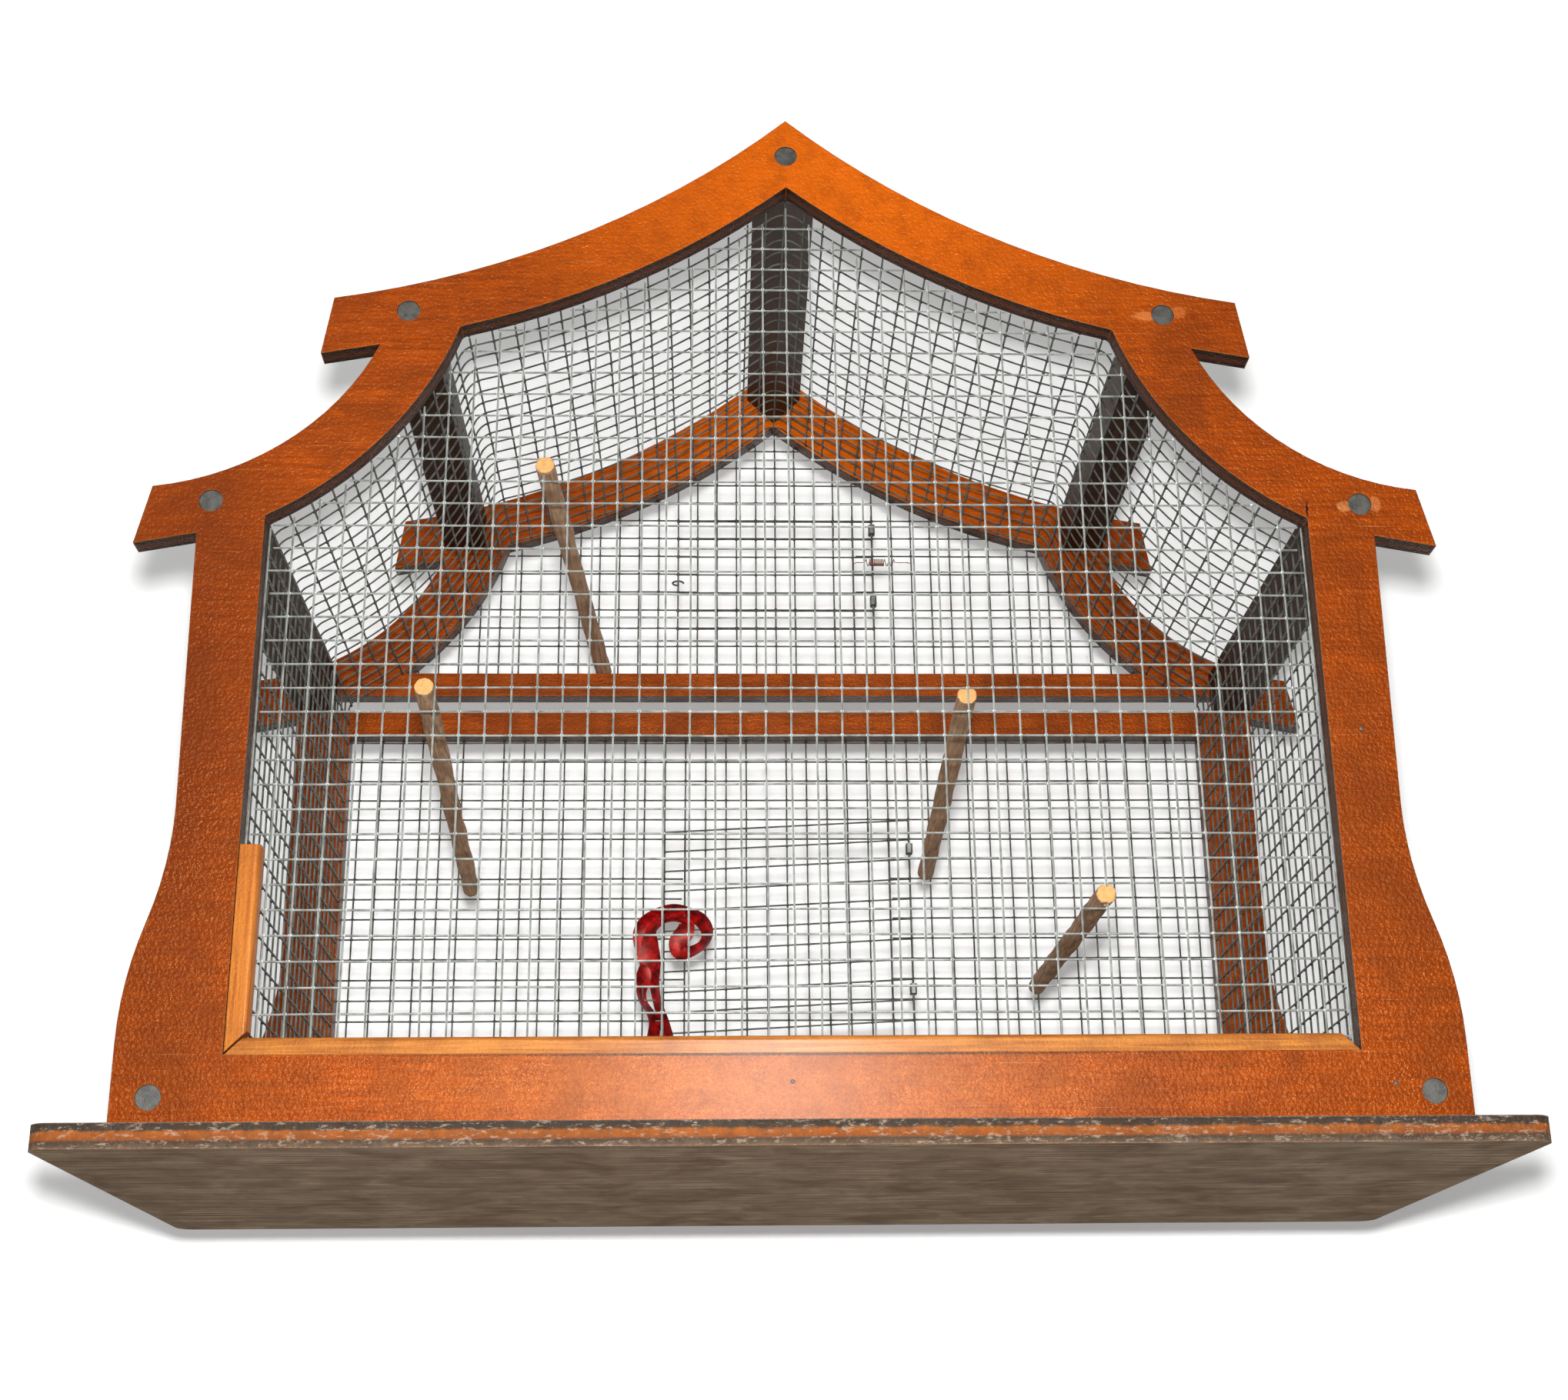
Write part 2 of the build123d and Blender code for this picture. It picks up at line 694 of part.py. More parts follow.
# Perches
upper_left_back = (
    -net_half + wire_half + (upper_left_start_shares[0] + upper_left_drift_share) * front_cell_width,
    frame_face - seat_gap,
    gable_window_bottom + seat_gap + perch_diameter / 2,
)
dowel("upper_left_perch", upper_left_start_shares, upper_left_back, True, False, perch_proud)
dowel(
    "middle_left_perch", middle_left_start_shares,
    shifted(middle_left_start_shares, middle_left_drift_shares), False, False, perch_proud,
)
dowel(
    "middle_right_perch", middle_right_start_shares,
    shifted(middle_right_start_shares, middle_right_drift_shares), True, True, -seat_gap,
)
dowel(
    "lower_right_perch", lower_right_start_shares,
    shifted(lower_right_start_shares, lower_right_drift_shares), True, True, perch_proud,
)

# Ribbon, knotted through the net beside the lower door
ribbon_x = lower_door_hinge - lower_door_columns * mesh_pitch
ribbon_z = lower_door_bottom
with BuildPart() as tie_ribbon:
    with BuildSketch(Plane.XZ.offset(-(frame_face - seat_gap))):
        for shares in (
            ribbon_arch_shares, ribbon_left_tail_shares, ribbon_right_tail_shares, ribbon_loop_shares
        ):
            points = [(ribbon_x + x * mesh_pitch, ribbon_z + z * mesh_pitch) for x, z in shares]
            with BuildLine():
                FilletPolyline(*points, radius=ribbon_bend)
            trace(line_width=ribbon_width)
        with Locations((ribbon_x + mesh_pitch, ribbon_z + ribbon_knot_share * mesh_pitch)):
            Circle(ribbon_knot / 2)
    extrude(amount=ribbon_thickness)
finish(tie_ribbon.part, "tie_ribbon")
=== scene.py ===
"""Wooden bird cage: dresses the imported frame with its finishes, its real wire net and its ribbon."""
import logging
import math
import random
from dataclasses import dataclass, field
from enum import Enum
from functools import partial
from typing import Any, Callable, Sequence

import bpy
from mathutils import Matrix, Vector, noise


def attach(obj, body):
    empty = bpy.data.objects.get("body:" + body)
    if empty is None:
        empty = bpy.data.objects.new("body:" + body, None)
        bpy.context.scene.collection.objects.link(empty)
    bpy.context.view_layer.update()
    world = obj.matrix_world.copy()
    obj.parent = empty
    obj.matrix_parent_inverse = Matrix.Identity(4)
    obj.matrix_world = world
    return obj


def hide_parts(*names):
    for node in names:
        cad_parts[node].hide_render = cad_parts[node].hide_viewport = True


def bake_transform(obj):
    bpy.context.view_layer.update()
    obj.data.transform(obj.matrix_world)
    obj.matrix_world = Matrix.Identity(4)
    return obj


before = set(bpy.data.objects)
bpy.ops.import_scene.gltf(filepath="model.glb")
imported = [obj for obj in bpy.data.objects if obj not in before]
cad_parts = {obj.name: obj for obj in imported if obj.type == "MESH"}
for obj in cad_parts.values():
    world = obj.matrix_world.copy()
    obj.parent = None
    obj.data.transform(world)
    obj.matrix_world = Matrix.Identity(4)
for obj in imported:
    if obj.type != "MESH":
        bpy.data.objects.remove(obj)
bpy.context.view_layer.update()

MM = 0.001
LOG = logging.getLogger("bird_cage")

Pair = tuple[float, float]
Span = tuple[float, float]
Triple = tuple[float, float, float]
Place = Triple
Stop = tuple[float, str]
AddNode = Callable[..., bpy.types.Node]


class Axis(Enum):
    """An axis of the cage's frame, as a place in a vector."""

    X = 0
    Y = 1
    Z = 2

    def stretch(self, along: float, across: float) -> Triple:
        """Gives texture scales that draw a pattern out along this axis.

        Args:
            along: Length of one streak, in millimetres.
            across: Width of one streak, in millimetres.

        Returns:
            A scale for each axis, per metre.
        """
        return tuple(per(along if axis is self else across) for axis in Axis)


def per(size: float) -> float:
    """Gives the texture scale, per metre, that draws a pattern at a size in millimetres."""
    return 1 / (size * MM)


def linear(colour: str, alpha: float = 1.0) -> tuple[float, float, float, float]:
    """Turns an sRGB colour to linear light.

    Args:
        colour: The colour as #RRGGBB.
        alpha: The fourth value.

    Returns:
        Red, green, blue and alpha.
    """
    parts = [int(colour[i : i + 2], 16) / 255 for i in (1, 3, 5)]
    light = [p / 12.92 if p <= 0.04045 else ((p + 0.055) / 1.055) ** 2.4 for p in parts]
    return (light[0], light[1], light[2], alpha)


def metres(x: float, y: float, z: float) -> Vector:
    """Turns a place in millimetres to a vector in metres."""
    return Vector((x * MM, y * MM, z * MM))


def add_node(
    tree: bpy.types.NodeTree, kind: str, parts: dict[Any, Any] | None = None
) -> bpy.types.Node:
    """Adds a node with its settings and links.

    Args:
        tree: The node tree that gets the node.
        kind: The node's type name, after its first word.
        parts: What each socket, by name or number, and each property gets. An output is linked,
            and so is a node, by its first output in use. A hex value is a colour. The name stops
            gives the positions and colours of a colour ramp.

    Returns:
        The new node.
    """
    node = tree.nodes.new(f"ShaderNode{kind}")
    for name, value in (parts or {}).items():
        if isinstance(value, bpy.types.Node):
            value = next(output for output in value.outputs if output.enabled)
        if name == "stops":
            ramp = node.color_ramp
            while len(ramp.elements) < len(value):
                ramp.elements.new(1.0)
            for element, (position, colour) in zip(ramp.elements, value):
                element.position = position
                element.color = linear(colour)
        elif isinstance(value, bpy.types.NodeSocket):
            tree.links.new(value, node.inputs[name])
        elif isinstance(name, int) or name in node.inputs:
            node.inputs[name].default_value = linear(value) if isinstance(value, str) else value
        else:
            setattr(node, name, value)
    return node


def deselect_all() -> None:
    """Leaves edit mode and clears the selection."""
    if bpy.context.object and bpy.context.object.mode != "OBJECT":
        bpy.ops.object.mode_set(mode="OBJECT")
    bpy.ops.object.select_all(action="DESELECT")


def activate(*pieces: bpy.types.Object) -> None:
    """Selects these pieces alone and makes the first one active."""
    deselect_all()
    for piece in pieces:
        piece.select_set(True)
    bpy.context.view_layer.objects.active = pieces[0]


def applied(piece: bpy.types.Object) -> bpy.types.Object:
    """Puts a piece's place, turn and scale into its mesh."""
    activate(piece)
    bpy.ops.object.transform_apply(location=True, rotation=True, scale=True)
    return piece


def linked(name: str, data: bpy.types.ID) -> bpy.types.Object:
    """Puts a new object with this data in the scene."""
    piece = bpy.data.objects.new(name, data)
    bpy.context.collection.objects.link(piece)
    return piece


def joined(pieces: Sequence[bpy.types.Object], name: str) -> bpy.types.Object:
    """Joins pieces to one, at the origin.

    Args:
        pieces: The pieces, each with its own mesh.
        name: The name of the result.

    Returns:
        The joined piece.
    """
    activate(*pieces)
    if len(pieces) > 1:
        bpy.ops.object.join()
    piece = bpy.context.view_layer.objects.active
    piece.name = name
    piece.data.name = name
    return applied(piece)


def copied(piece: bpy.types.Object, place: Matrix) -> bpy.types.Object:
    """Copies a piece with a mesh of its own and sets the copy at a place.

    Args:
        piece: The pattern piece.
        place: The copy's matrix.

    Returns:
        The copy.
    """
    twin = piece.copy()
    twin.data = piece.data.copy()
    bpy.context.collection.objects.link(twin)
    twin.matrix_world = place
    return twin


def erase(piece: bpy.types.Object) -> None:
    """Takes a pattern piece out of the scene."""
    bpy.data.objects.remove(piece, do_unlink=True)


def as_mesh(piece: bpy.types.Object) -> bpy.types.Object:
    """Turns a curve with its bevel to a mesh."""
    activate(piece)
    bpy.ops.object.convert(target="MESH")
    return bpy.context.view_layer.objects.active


def smooth(piece: bpy.types.Object, degrees: float = 50) -> None:
    """Shades a piece smooth, apart from edges sharper than an angle."""
    activate(piece)
    bpy.ops.object.shade_smooth_by_angle(angle=math.radians(degrees))


def bevelled(piece: bpy.types.Object, width: float, segments: int) -> None:
    """Breaks a piece's edges by a width in millimetres.

    Args:
        piece: The piece, which is active.
        width: The width.
        segments: How round the edge is.
    """
    edge = piece.modifiers.new("edge", "BEVEL")
    edge.width = width * MM
    edge.segments = segments
    bpy.ops.object.modifier_apply(modifier="edge")


def spaced(start: float, step: float, numbers: range) -> list[float]:
    """Gives places at whole numbers of steps from a start."""
    return [start + step * number for number in numbers]


def wire_curve(name: str, points: Sequence[Vector], diameter: float) -> bpy.types.Object:
    """Makes a bent wire along points that are set closely.

    Args:
        name: The name of the piece.
        points: Places along the wire, in metres.
        diameter: The wire's diameter, in millimetres.

    Returns:
        The wire as a curve object.
    """
    line = bpy.data.curves.new(name, "CURVE")
    line.dimensions = "3D"
    line.bevel_depth = diameter / 2 * MM
    line.bevel_resolution = 1
    line.use_fill_caps = True
    spline = line.splines.new("POLY")
    spline.points.add(len(points) - 1)
    for target, point in zip(spline.points, points):
        target.co = (*point, 1.0)
    return linked(name, line)


@dataclass(frozen=True)
class CageSizes:
    """Sizes that the nets share with the CAD model, in millimetres."""

    pitch: float = 12.7
    squares: int = 42
    wire: float = 1.1
    near_layer: float = 0.55
    far_layer: float = 1.55
    opening_half: float = 266.7
    sill: float = 44.2
    first_row: float = 65.5
    frame_face: float = 146.0
    frame_inner: float = 134.0
    base_top: float = 12.0
    inner_apex: float = 516.5
    inner_corner: Pair = (172.2, 429.6)
    shoulder: float = 319.8
    roof_sag: float = 10.5
    wing_sag: float = 14.0
    lower_window_top: float = 299.0
    gable_window_bottom: float = 340.8
    lap: float = 12.0
    door_inner: float = 148.4
    door_far_layer: float = 1.5
    gable_hinge: float = 64.2
    gable_foot: float = 377.4
    gable_squares: tuple[int, int] = (10, 6)
    lower_hinge: float = 82.5
    lower_foot: float = 121.0
    lower_squares: tuple[int, int] = (12, 10)
    rack: float = math.tan(math.radians(2.9))


@dataclass(frozen=True)
class SaggedArc:
    """An arc that hangs below its chord, on the right-hand half of an outline."""

    start: Pair
    end: Pair
    sag: float

    def circle(self, grow: float) -> Triple:
        """Finds the arc's circle.

        Args:
            grow: How far the outline is moved outwards.

        Returns:
            The centre's two places and the radius.
        """
        across, up = self.end[0] - self.start[0], self.end[1] - self.start[1]
        chord = math.hypot(across, up)
        out = (-up / chord, across / chord)
        radius = (chord**2 / 4 + self.sag**2) / (2 * self.sag)
        reach = radius - self.sag
        middle = ((self.start[0] + self.end[0]) / 2, (self.start[1] + self.end[1]) / 2)
        return middle[0] + out[0] * reach, middle[1] + out[1] * reach, radius - grow

    def height_at(self, across: float, grow: float) -> float:
        """Gives the arc's height at a place across, or infinity past its circle.

        Args:
            across: The place across.
            grow: How far the outline is moved outwards.

        Returns:
            The height.
        """
        x, z, radius = self.circle(grow)
        rest = radius**2 - (across - x) ** 2
        return z - math.sqrt(rest) if rest > 0 else math.inf

    def half_width_at(self, height: float, grow: float) -> float:
        """Gives the arc's place across at a height, or infinity past its circle.

        Args:
            height: The height.
            grow: How far the outline is moved outwards.

        Returns:
            The place across.
        """
        x, z, radius = self.circle(grow)
        rest = radius**2 - (height - z) ** 2
        return x - math.sqrt(rest) if rest > 0 else math.inf

    def points(self, count: int, grow: float) -> list[Pair]:
        """Gives points along the arc from its start to its end.

        Args:
            count: How many points.
            grow: How far the outline is moved outwards.

        Returns:
            The points.
        """
        x, z, radius = self.circle(grow)
        first = math.atan2(self.start[1] - z, self.start[0] - x)
        last = math.atan2(self.end[1] - z, self.end[0] - x)
        turns = [first + (last - first) * i / (count - 1) for i in range(count)]
        return [(x + radius * math.cos(turn), z + radius * math.sin(turn)) for turn in turns]


@dataclass(frozen=True)
class OpeningOutline:
    """The two-step arched outline of an end frame's opening."""

    sizes: CageSizes
    grow: float = 0.0

    def arcs(self) -> tuple[SaggedArc, SaggedArc]:
        """Gives the roof arc and the wing arc of the right-hand half."""
        s = self.sizes
        roof = SaggedArc((0.0, s.inner_apex), s.inner_corner, s.roof_sag)
        wing = SaggedArc(s.inner_corner, (s.opening_half, s.shoulder), s.wing_sag)
        return roof, wing

    def top_at(self, across: float) -> float:
        """Gives the outline's height at a place across."""
        return min(arc.height_at(abs(across), self.grow) for arc in self.arcs())

    def half_width_at(self, height: float) -> float:
        """Gives half of the outline's width at a height."""
        side = self.sizes.opening_half + self.grow
        if height <= self.sizes.shoulder:
            return side
        return min(side, *(arc.half_width_at(height, self.grow) for arc in self.arcs()))

    def span_at(self, height: float, inset: float) -> Span:
        """Gives the outline's width at a height, less an inset at both ends."""
        return inset - self.half_width_at(height), self.half_width_at(height) - inset


class Finish:
    """A surface finish that makes its material once and hands it out again."""

    name: str

    def material(self) -> bpy.types.Material:
        """Gives the finish's material, made on first use."""
        known = bpy.data.materials.get(self.name)
        if known:
            return known
        made = bpy.data.materials.new(self.name)
        made.use_nodes = True
        made.node_tree.nodes.clear()
        add = partial(add_node, made.node_tree)
        add("OutputMaterial", {"Surface": self.shade(add)})
        return made

    def shade(self, add: AddNode) -> bpy.types.Node:
        """Builds the surface's nodes.

        Args:
            add: Adds a node to the material.

        Returns:
            The shader.
        """
        raise NotImplementedError

    def dress(self, piece: bpy.types.Object) -> None:
        """Puts the finish on every slot of a piece."""
        if not piece.material_slots:
            piece.data.materials.append(self.material())
        for slot in piece.material_slots:
            slot.material = self.material()


def tinted(
    add: AddNode, colour: bpy.types.Node | str, tint: str, pattern: Any, window: Span, share: float
) -> bpy.types.Node:
    """Lets a tint show in patches on a colour, where a pattern rises through a window.

    Args:
        add: Adds a node to the material.
        colour: The colour below, a node or a hex value.
        tint: The colour of the patches.
        pattern: What places the patches.
        window: The pattern's values where the patches start and where they are full.
        share: How much of the tint shows where they are full.

    Returns:
        The tinted colour.
    """
    shown = add(
        "MapRange",
        {"Value": pattern, "From Min": window[0], "From Max": window[1], "To Max": share},
    )
    return add("Mix", {"data_type": "RGBA", 0: shown, 6: colour, 7: tint})


@dataclass(frozen=True)
class Mark:
    """A patch on a board that has another colour: a tear in the veneer, a saw cut, a darker area, or a
    painted highlight or painted shade.
    """

    centre: Place
    radii: Triple
    colour: str
    share: float = 1.0
    soft: float = 0.3
    ragged: float = 0.6

    def over(self, add: AddNode, colour: Any, place: Any, rough: Any) -> bpy.types.Node:
        """Lays the mark over a colour.

        Args:
            add: Adds a node to the material.
            colour: The colour below.
            place: The place on the object.
            rough: A noise that tears the mark's outline.

        Returns:
            The colour with the mark.
        """
        near = add(
            "Mapping",
            {
                "Vector": place,
                "Location": tuple(-c / r for c, r in zip(self.centre, self.radii)),
                "Scale": tuple(per(r) for r in self.radii),
            },
        )
        away = add("VectorMath", {"operation": "LENGTH", 0: near})
        torn = add("Math", {"operation": "MULTIPLY_ADD", 0: rough, 1: self.ragged, 2: away})
        edge = 1.0 + self.ragged / 2
        return tinted(add, colour, self.colour, torn, (edge, edge - self.soft), self.share)


@dataclass(frozen=True, kw_only=True)
class Wood(Finish):
    """What each wood on the cage shares: streaked grain, eased edges and thin uneven varnish.

    The grain's look is its noise's detail, roughness and distortion, and its relief is a
    strength and a depth in millimetres.
    """

    name: str
    dark: str
    middle: str
    pale: str
    grain_length: float = 60.0
    grain_width: float = 1.8
    roughness: float = 0.6
    coat: float = 0.0
    varnish: str = "#FFCF9A"

    # Set alike for every board of one kind of wood
    grain_look: Triple = (6.0, 0.62, 0.5)
    tone_window: float = 0.18
    edge_radius: float = 0.8
    peel_depth: float = 0.5
    grain_relief: Pair = (0.35, 0.3)
    reflectance: float = 0.2
    coat_roughness: float = 0.25

    def streaked(self, add: AddNode, place: Any, along: Axis) -> tuple[bpy.types.Node, bpy.types.Node]:
        """Draws the grain out along an axis.

        Args:
            add: Adds a node to the material.
            place: The place on the object.
            along: The axis that the grain follows.

        Returns:
            The grain's pattern and its colour.
        """
        detail, roughness, distortion = self.grain_look
        streaks = along.stretch(self.grain_length, self.grain_width)
        grain = add(
            "TexNoise",
            {
                "Vector": add("Mapping", {"Vector": place, "Scale": streaks}),
                "Scale": 1.0, "Detail": detail, "Roughness": roughness, "Distortion": distortion,
            },
        )
        low, high = 0.5 - self.tone_window, 0.5 + self.tone_window
        stops = ((low, self.dark), (0.5, self.middle), (high, self.pale))
        return grain, add("ValToRGB", {"Fac": grain, "stops": stops})

    def facing(self, add: AddNode, normal: Any, axis: Axis, limit: float) -> bpy.types.Node:
        """Tells the faces across an axis, where the normal passes a limit, from the others.

        Args:
            add: Adds a node to the material.
            normal: The normal of the surface.
            axis: The axis that the faces lie across.
            limit: The smallest part of the normal along it.

        Returns:
            One on those faces and nought elsewhere.
        """
        part = add("SeparateXYZ", {0: normal}).outputs[axis.value]
        flat = add("Math", {"operation": "ABSOLUTE", 0: part})
        return add("Math", {"operation": "GREATER_THAN", 0: flat, 1: limit})

    def varnished(
        self, add: AddNode, colour: Any, shine: Any, grain: Any, grit: Any, eased: Any
    ) -> bpy.types.Node:
        """Covers the wood with its uneven varnish.

        Args:
            add: Adds a node to the material.
            colour: The wood's colour.
            shine: Its roughness.
            grain: The pattern of the grain.
            grit: The pattern of the varnish's small bumps.
            eased: The normal that rounds the edges.

        Returns:
            The shader.
        """
        peel = add(
            "Bump", {"Strength": 1.0, "Distance": self.peel_depth * MM, "Height": grit, "Normal": eased}
        )
        strength, depth = self.grain_relief
        relief = add(
            "Bump", {"Strength": strength, "Distance": depth * MM, "Height": grain, "Normal": peel}
        )
        return add(
            "BsdfPrincipled",
            {
                "Base Color": colour, "Roughness": shine, "Normal": relief,
                "IOR": 1.48, "Specular IOR Level": self.reflectance, "Specular Tint": self.varnish,
                "Coat Weight": self.coat, "Coat Roughness": self.coat_roughness,
            },
        )


@dataclass(frozen=True, kw_only=True)
class Plywood(Wood):
    """Plywood that is stained and varnished on its faces and dark along its sawn edges.

    Rotary-cut veneer gives long fine streaks, and the stain takes in soft blotches. The cut
    edges show the plies as bands that run round the board, with pale chips.
    """

    blotch: str
    scuff: str
    fleck: str = "#1A100A"
    chip: str = "#D08A50"
    plies: tuple[Stop, ...]
    face: Axis
    ply_start: float
    thickness: float = 12.0
    scuffing: float = 0.35
    chipping: float = 0.12
    marks: tuple[Mark, ...] = ()
    coat: float = 0.05
    varnish: str = "#FFC07C"

    # The sizes of its patterns, in millimetres: the varnish's grit is drawn coarse so that it shows
    cloud: float = 38.46
    mottle: float = 13.333
    tear: float = 6.25
    scratch: Pair = (45.45, 1.111)
    splinter: Pair = (4.348, 1.613)
    grit: float = 1.7857
    ply_wander: float = 0.22

    grain_look: Triple = (7.0, 0.66, 0.35)
    tone_window: float = 0.20
    edge_radius: float = 1.1
    peel_depth: float = 1.0
    grain_relief: Pair = (0.22, 0.25)
    reflectance: float = 0.14
    coat_roughness: float = 0.3

    def shade(self, add: AddNode) -> bpy.types.Node:
        """Builds the surface's nodes.

        Args:
            add: Adds a node to the material.

        Returns:
            The shader.
        """
        texture = add("TexCoord")
        place = texture.outputs["Object"]
        rough = add("TexNoise", {"Vector": place, "Scale": per(self.tear), "Detail": 5.0, "Roughness": 0.7})
        cloud = add(
            "TexNoise",
            {"Vector": place, "Scale": per(self.cloud), "Detail": 4.0, "Roughness": 0.6, "Distortion": 0.8},
        )
        grain, face = self.face_colour(add, place, cloud, rough)
        edge = self.edge_colour(add, place, rough)
        on_face = self.facing(add, texture.outputs["Normal"], self.face, 0.7)
        colour = add("Mix", {"data_type": "RGBA", 0: on_face, 6: edge, 7: face})
        eased = add("Bevel", {"samples": 4, "Radius": self.edge_radius * MM})
        surface = add("NewGeometry")
        turn = add("VectorMath", {"operation": "DOT_PRODUCT", 0: eased, 1: surface.outputs["Normal"]})
        colour = tinted(add, colour, self.scuff, turn, (0.995, 0.86), self.scuffing)
        shine = add(
            "MapRange",
            {
                "Value": cloud, "From Min": 0.3, "From Max": 0.7,
                "To Min": self.roughness - 0.12, "To Max": self.roughness + 0.16,
            },
        )
        grit = add("TexNoise", {"Vector": place, "Scale": per(self.grit), "Detail": 2.0, "Roughness": 0.6})
        return self.varnished(add, colour, shine, grain, grit, eased)

    def face_colour(
        self, add: AddNode, place: Any, cloud: Any, rough: Any
    ) -> tuple[bpy.types.Node, bpy.types.Node]:
        """Builds the stained veneer: streaks, soft blotches, scratches and marks, among them painted
        highlights and painted shade.

        Args:
            add: Adds a node to the material.
            place: The place on the object.
            cloud: The pattern of the large blotches.
            rough: The pattern that tears the marks' outlines.

        Returns:
            The grain's pattern and the colour.
        """
        grain, colour = self.streaked(add, place, Axis.X)
        colour = tinted(add, colour, self.blotch, cloud, (0.42, 0.68), 0.75)
        length, width = self.scratch
        lean = {"Scale": Axis.Z.stretch(width, length), "Rotation": (0.0, 0.12, 0.0)}
        drawn = add("Mapping", {"Vector": place, **lean})
        scratches = add("TexNoise", {"Vector": drawn, "Scale": 1.0, "Detail": 2.0, "Roughness": 0.5})
        colour = tinted(add, colour, self.scuff, scratches, (0.70, 0.76), 0.55)
        for mark in self.marks:
            colour = mark.over(add, colour, place, rough)
        mottle = add(
            "TexNoise", {"Vector": place, "Scale": per(self.mottle), "Detail": 6.0, "Roughness": 0.72}
        )
        return grain, tinted(add, colour, self.blotch, mottle, (0.47, 0.70), 0.45)

    def edge_colour(self, add: AddNode, place: Any, rough: Any) -> bpy.types.Node:
        """Builds the sawn edge: wandering plies with dark flecks and pale chips.

        Args:
            add: Adds a node to the material.
            place: The place on the object.
            rough: The pattern that the plies wander by.

        Returns:
            The colour.
        """
        part = add("SeparateXYZ", {0: place}).outputs[self.face.value]
        depth = add("Math", {"operation": "ABSOLUTE", 0: part})
        ends = {"From Min": self.ply_start * MM, "From Max": (self.ply_start + self.thickness) * MM}
        ply = add("MapRange", {"Value": depth, **ends})
        wander = add(
            "Math",
            {"operation": "MULTIPLY_ADD", 0: rough, 1: self.ply_wander, 2: -self.ply_wander / 2},
        )
        layer = add("Math", {"operation": "ADD", 0: ply, 1: wander})
        colour = add("ValToRGB", {"Fac": layer, "stops": self.plies})
        colour = tinted(add, colour, self.fleck, rough, (0.35, 0.75), 0.55)
        splinters = add("Mapping", {"Vector": place, "Scale": Axis.X.stretch(*self.splinter)})
        chips = add("TexNoise", {"Vector": splinters, "Scale": 1.0, "Detail": 3.0, "Roughness": 0.7})
        return tinted(add, colour, self.chip, chips, (0.55, 0.66), self.chipping)


@dataclass(frozen=True, kw_only=True)
class SawnWood(Wood):
    """Solid softwood bar, bead or branch with its grain along one axis and its own end grain."""

    end: str
    along: Axis
    grime: str = "#3A2A1E"
    grime_share: float = 0.4

    # The sizes of its patterns, in millimetres: rings and grit are drawn coarse so that they show
    cloud: float = 16.667
    ring: float = 2.381
    grit: float = 1.6129

    def shade(self, add: AddNode) -> bpy.types.Node:
        """Builds the surface's nodes.

        Args:
            add: Adds a node to the material.

        Returns:
            The shader.
        """
        texture = add("TexCoord")
        place = texture.outputs["Object"]
        cloud, rings, grit = (
            add("TexNoise", {"Vector": place, "Scale": per(size), "Detail": detail, "Roughness": roughness})
            for size, detail, roughness in (
                (self.cloud, 4.0, 0.6), (self.ring, 3.0, 0.6), (self.grit, 3.0, 0.7)
            )
        )
        grain, tone = self.streaked(add, place, self.along)
        side = tinted(add, tone, self.grime, cloud, (0.45, 0.7), self.grime_share)
        end = tinted(add, self.end, self.dark, rings, (0.4, 0.7), 0.35)
        on_end = self.facing(add, texture.outputs["Normal"], self.along, 0.62)
        colour = add("Mix", {"data_type": "RGBA", 0: on_end, 6: side, 7: end})
        limits = {"To Min": self.roughness - 0.12, "To Max": self.roughness + 0.12}
        shine = add("MapRange", {"Value": grain, **limits})
        eased = add("Bevel", {"samples": 4, "Radius": self.edge_radius * MM})
        return self.varnished(add, colour, shine, grain, grit, eased)


@dataclass(frozen=True)
class WireMetal(Finish):
    """Drawn steel wire: dull zinc, blackened steel or rust, by its colours and its metal share.

    Hot-dip zinc weathers to soft grey patches with duller spots and fills each weld with a bead,
    and rust covers the steel in brown grains that kill its shine. Sizes are in millimetres.
    """

    name: str
    dark: str
    pale: str
    metallic: float
    roughness: float
    patch: float = 9.0
    relief: float = 0.1
    bead: str = "#8A8C88"
    grain: float = 0.5

    def shade(self, add: AddNode) -> bpy.types.Node:
        """Builds the surface's nodes.

        Args:
            add: Adds a node to the material.

        Returns:
            The shader.
        """
        place = add("TexCoord").outputs["Object"]
        patches = add(
            "TexNoise", {"Vector": place, "Scale": per(self.patch), "Detail": 4.0, "Roughness": 0.65}
        )
        tone = add("ValToRGB", {"Fac": patches, "stops": ((0.36, self.dark), (0.60, self.pale))})
        weld = add("Attribute", {"attribute_name": "weld"}).outputs["Fac"]
        grains = add("TexNoise", {"Vector": place, "Scale": per(self.grain), "Detail": 2.0})
        limits = {"To Min": self.roughness - 0.1, "To Max": self.roughness + 0.15}
        # The weld beads take the bead colour: on the front net a nearly white painted highlight, on the
        # nets behind a near black painted shade
        return add(
            "BsdfPrincipled",
            {
                "Metallic": self.metallic,
                "Base Color": add("Mix", {"data_type": "RGBA", 0: weld, 6: tone, 7: self.bead}),
                "Roughness": add("MapRange", {"Value": patches, **limits}),
                "Normal": add("Bump", {"Strength": 0.5, "Distance": self.relief * MM, "Height": grains}),
            },
        )


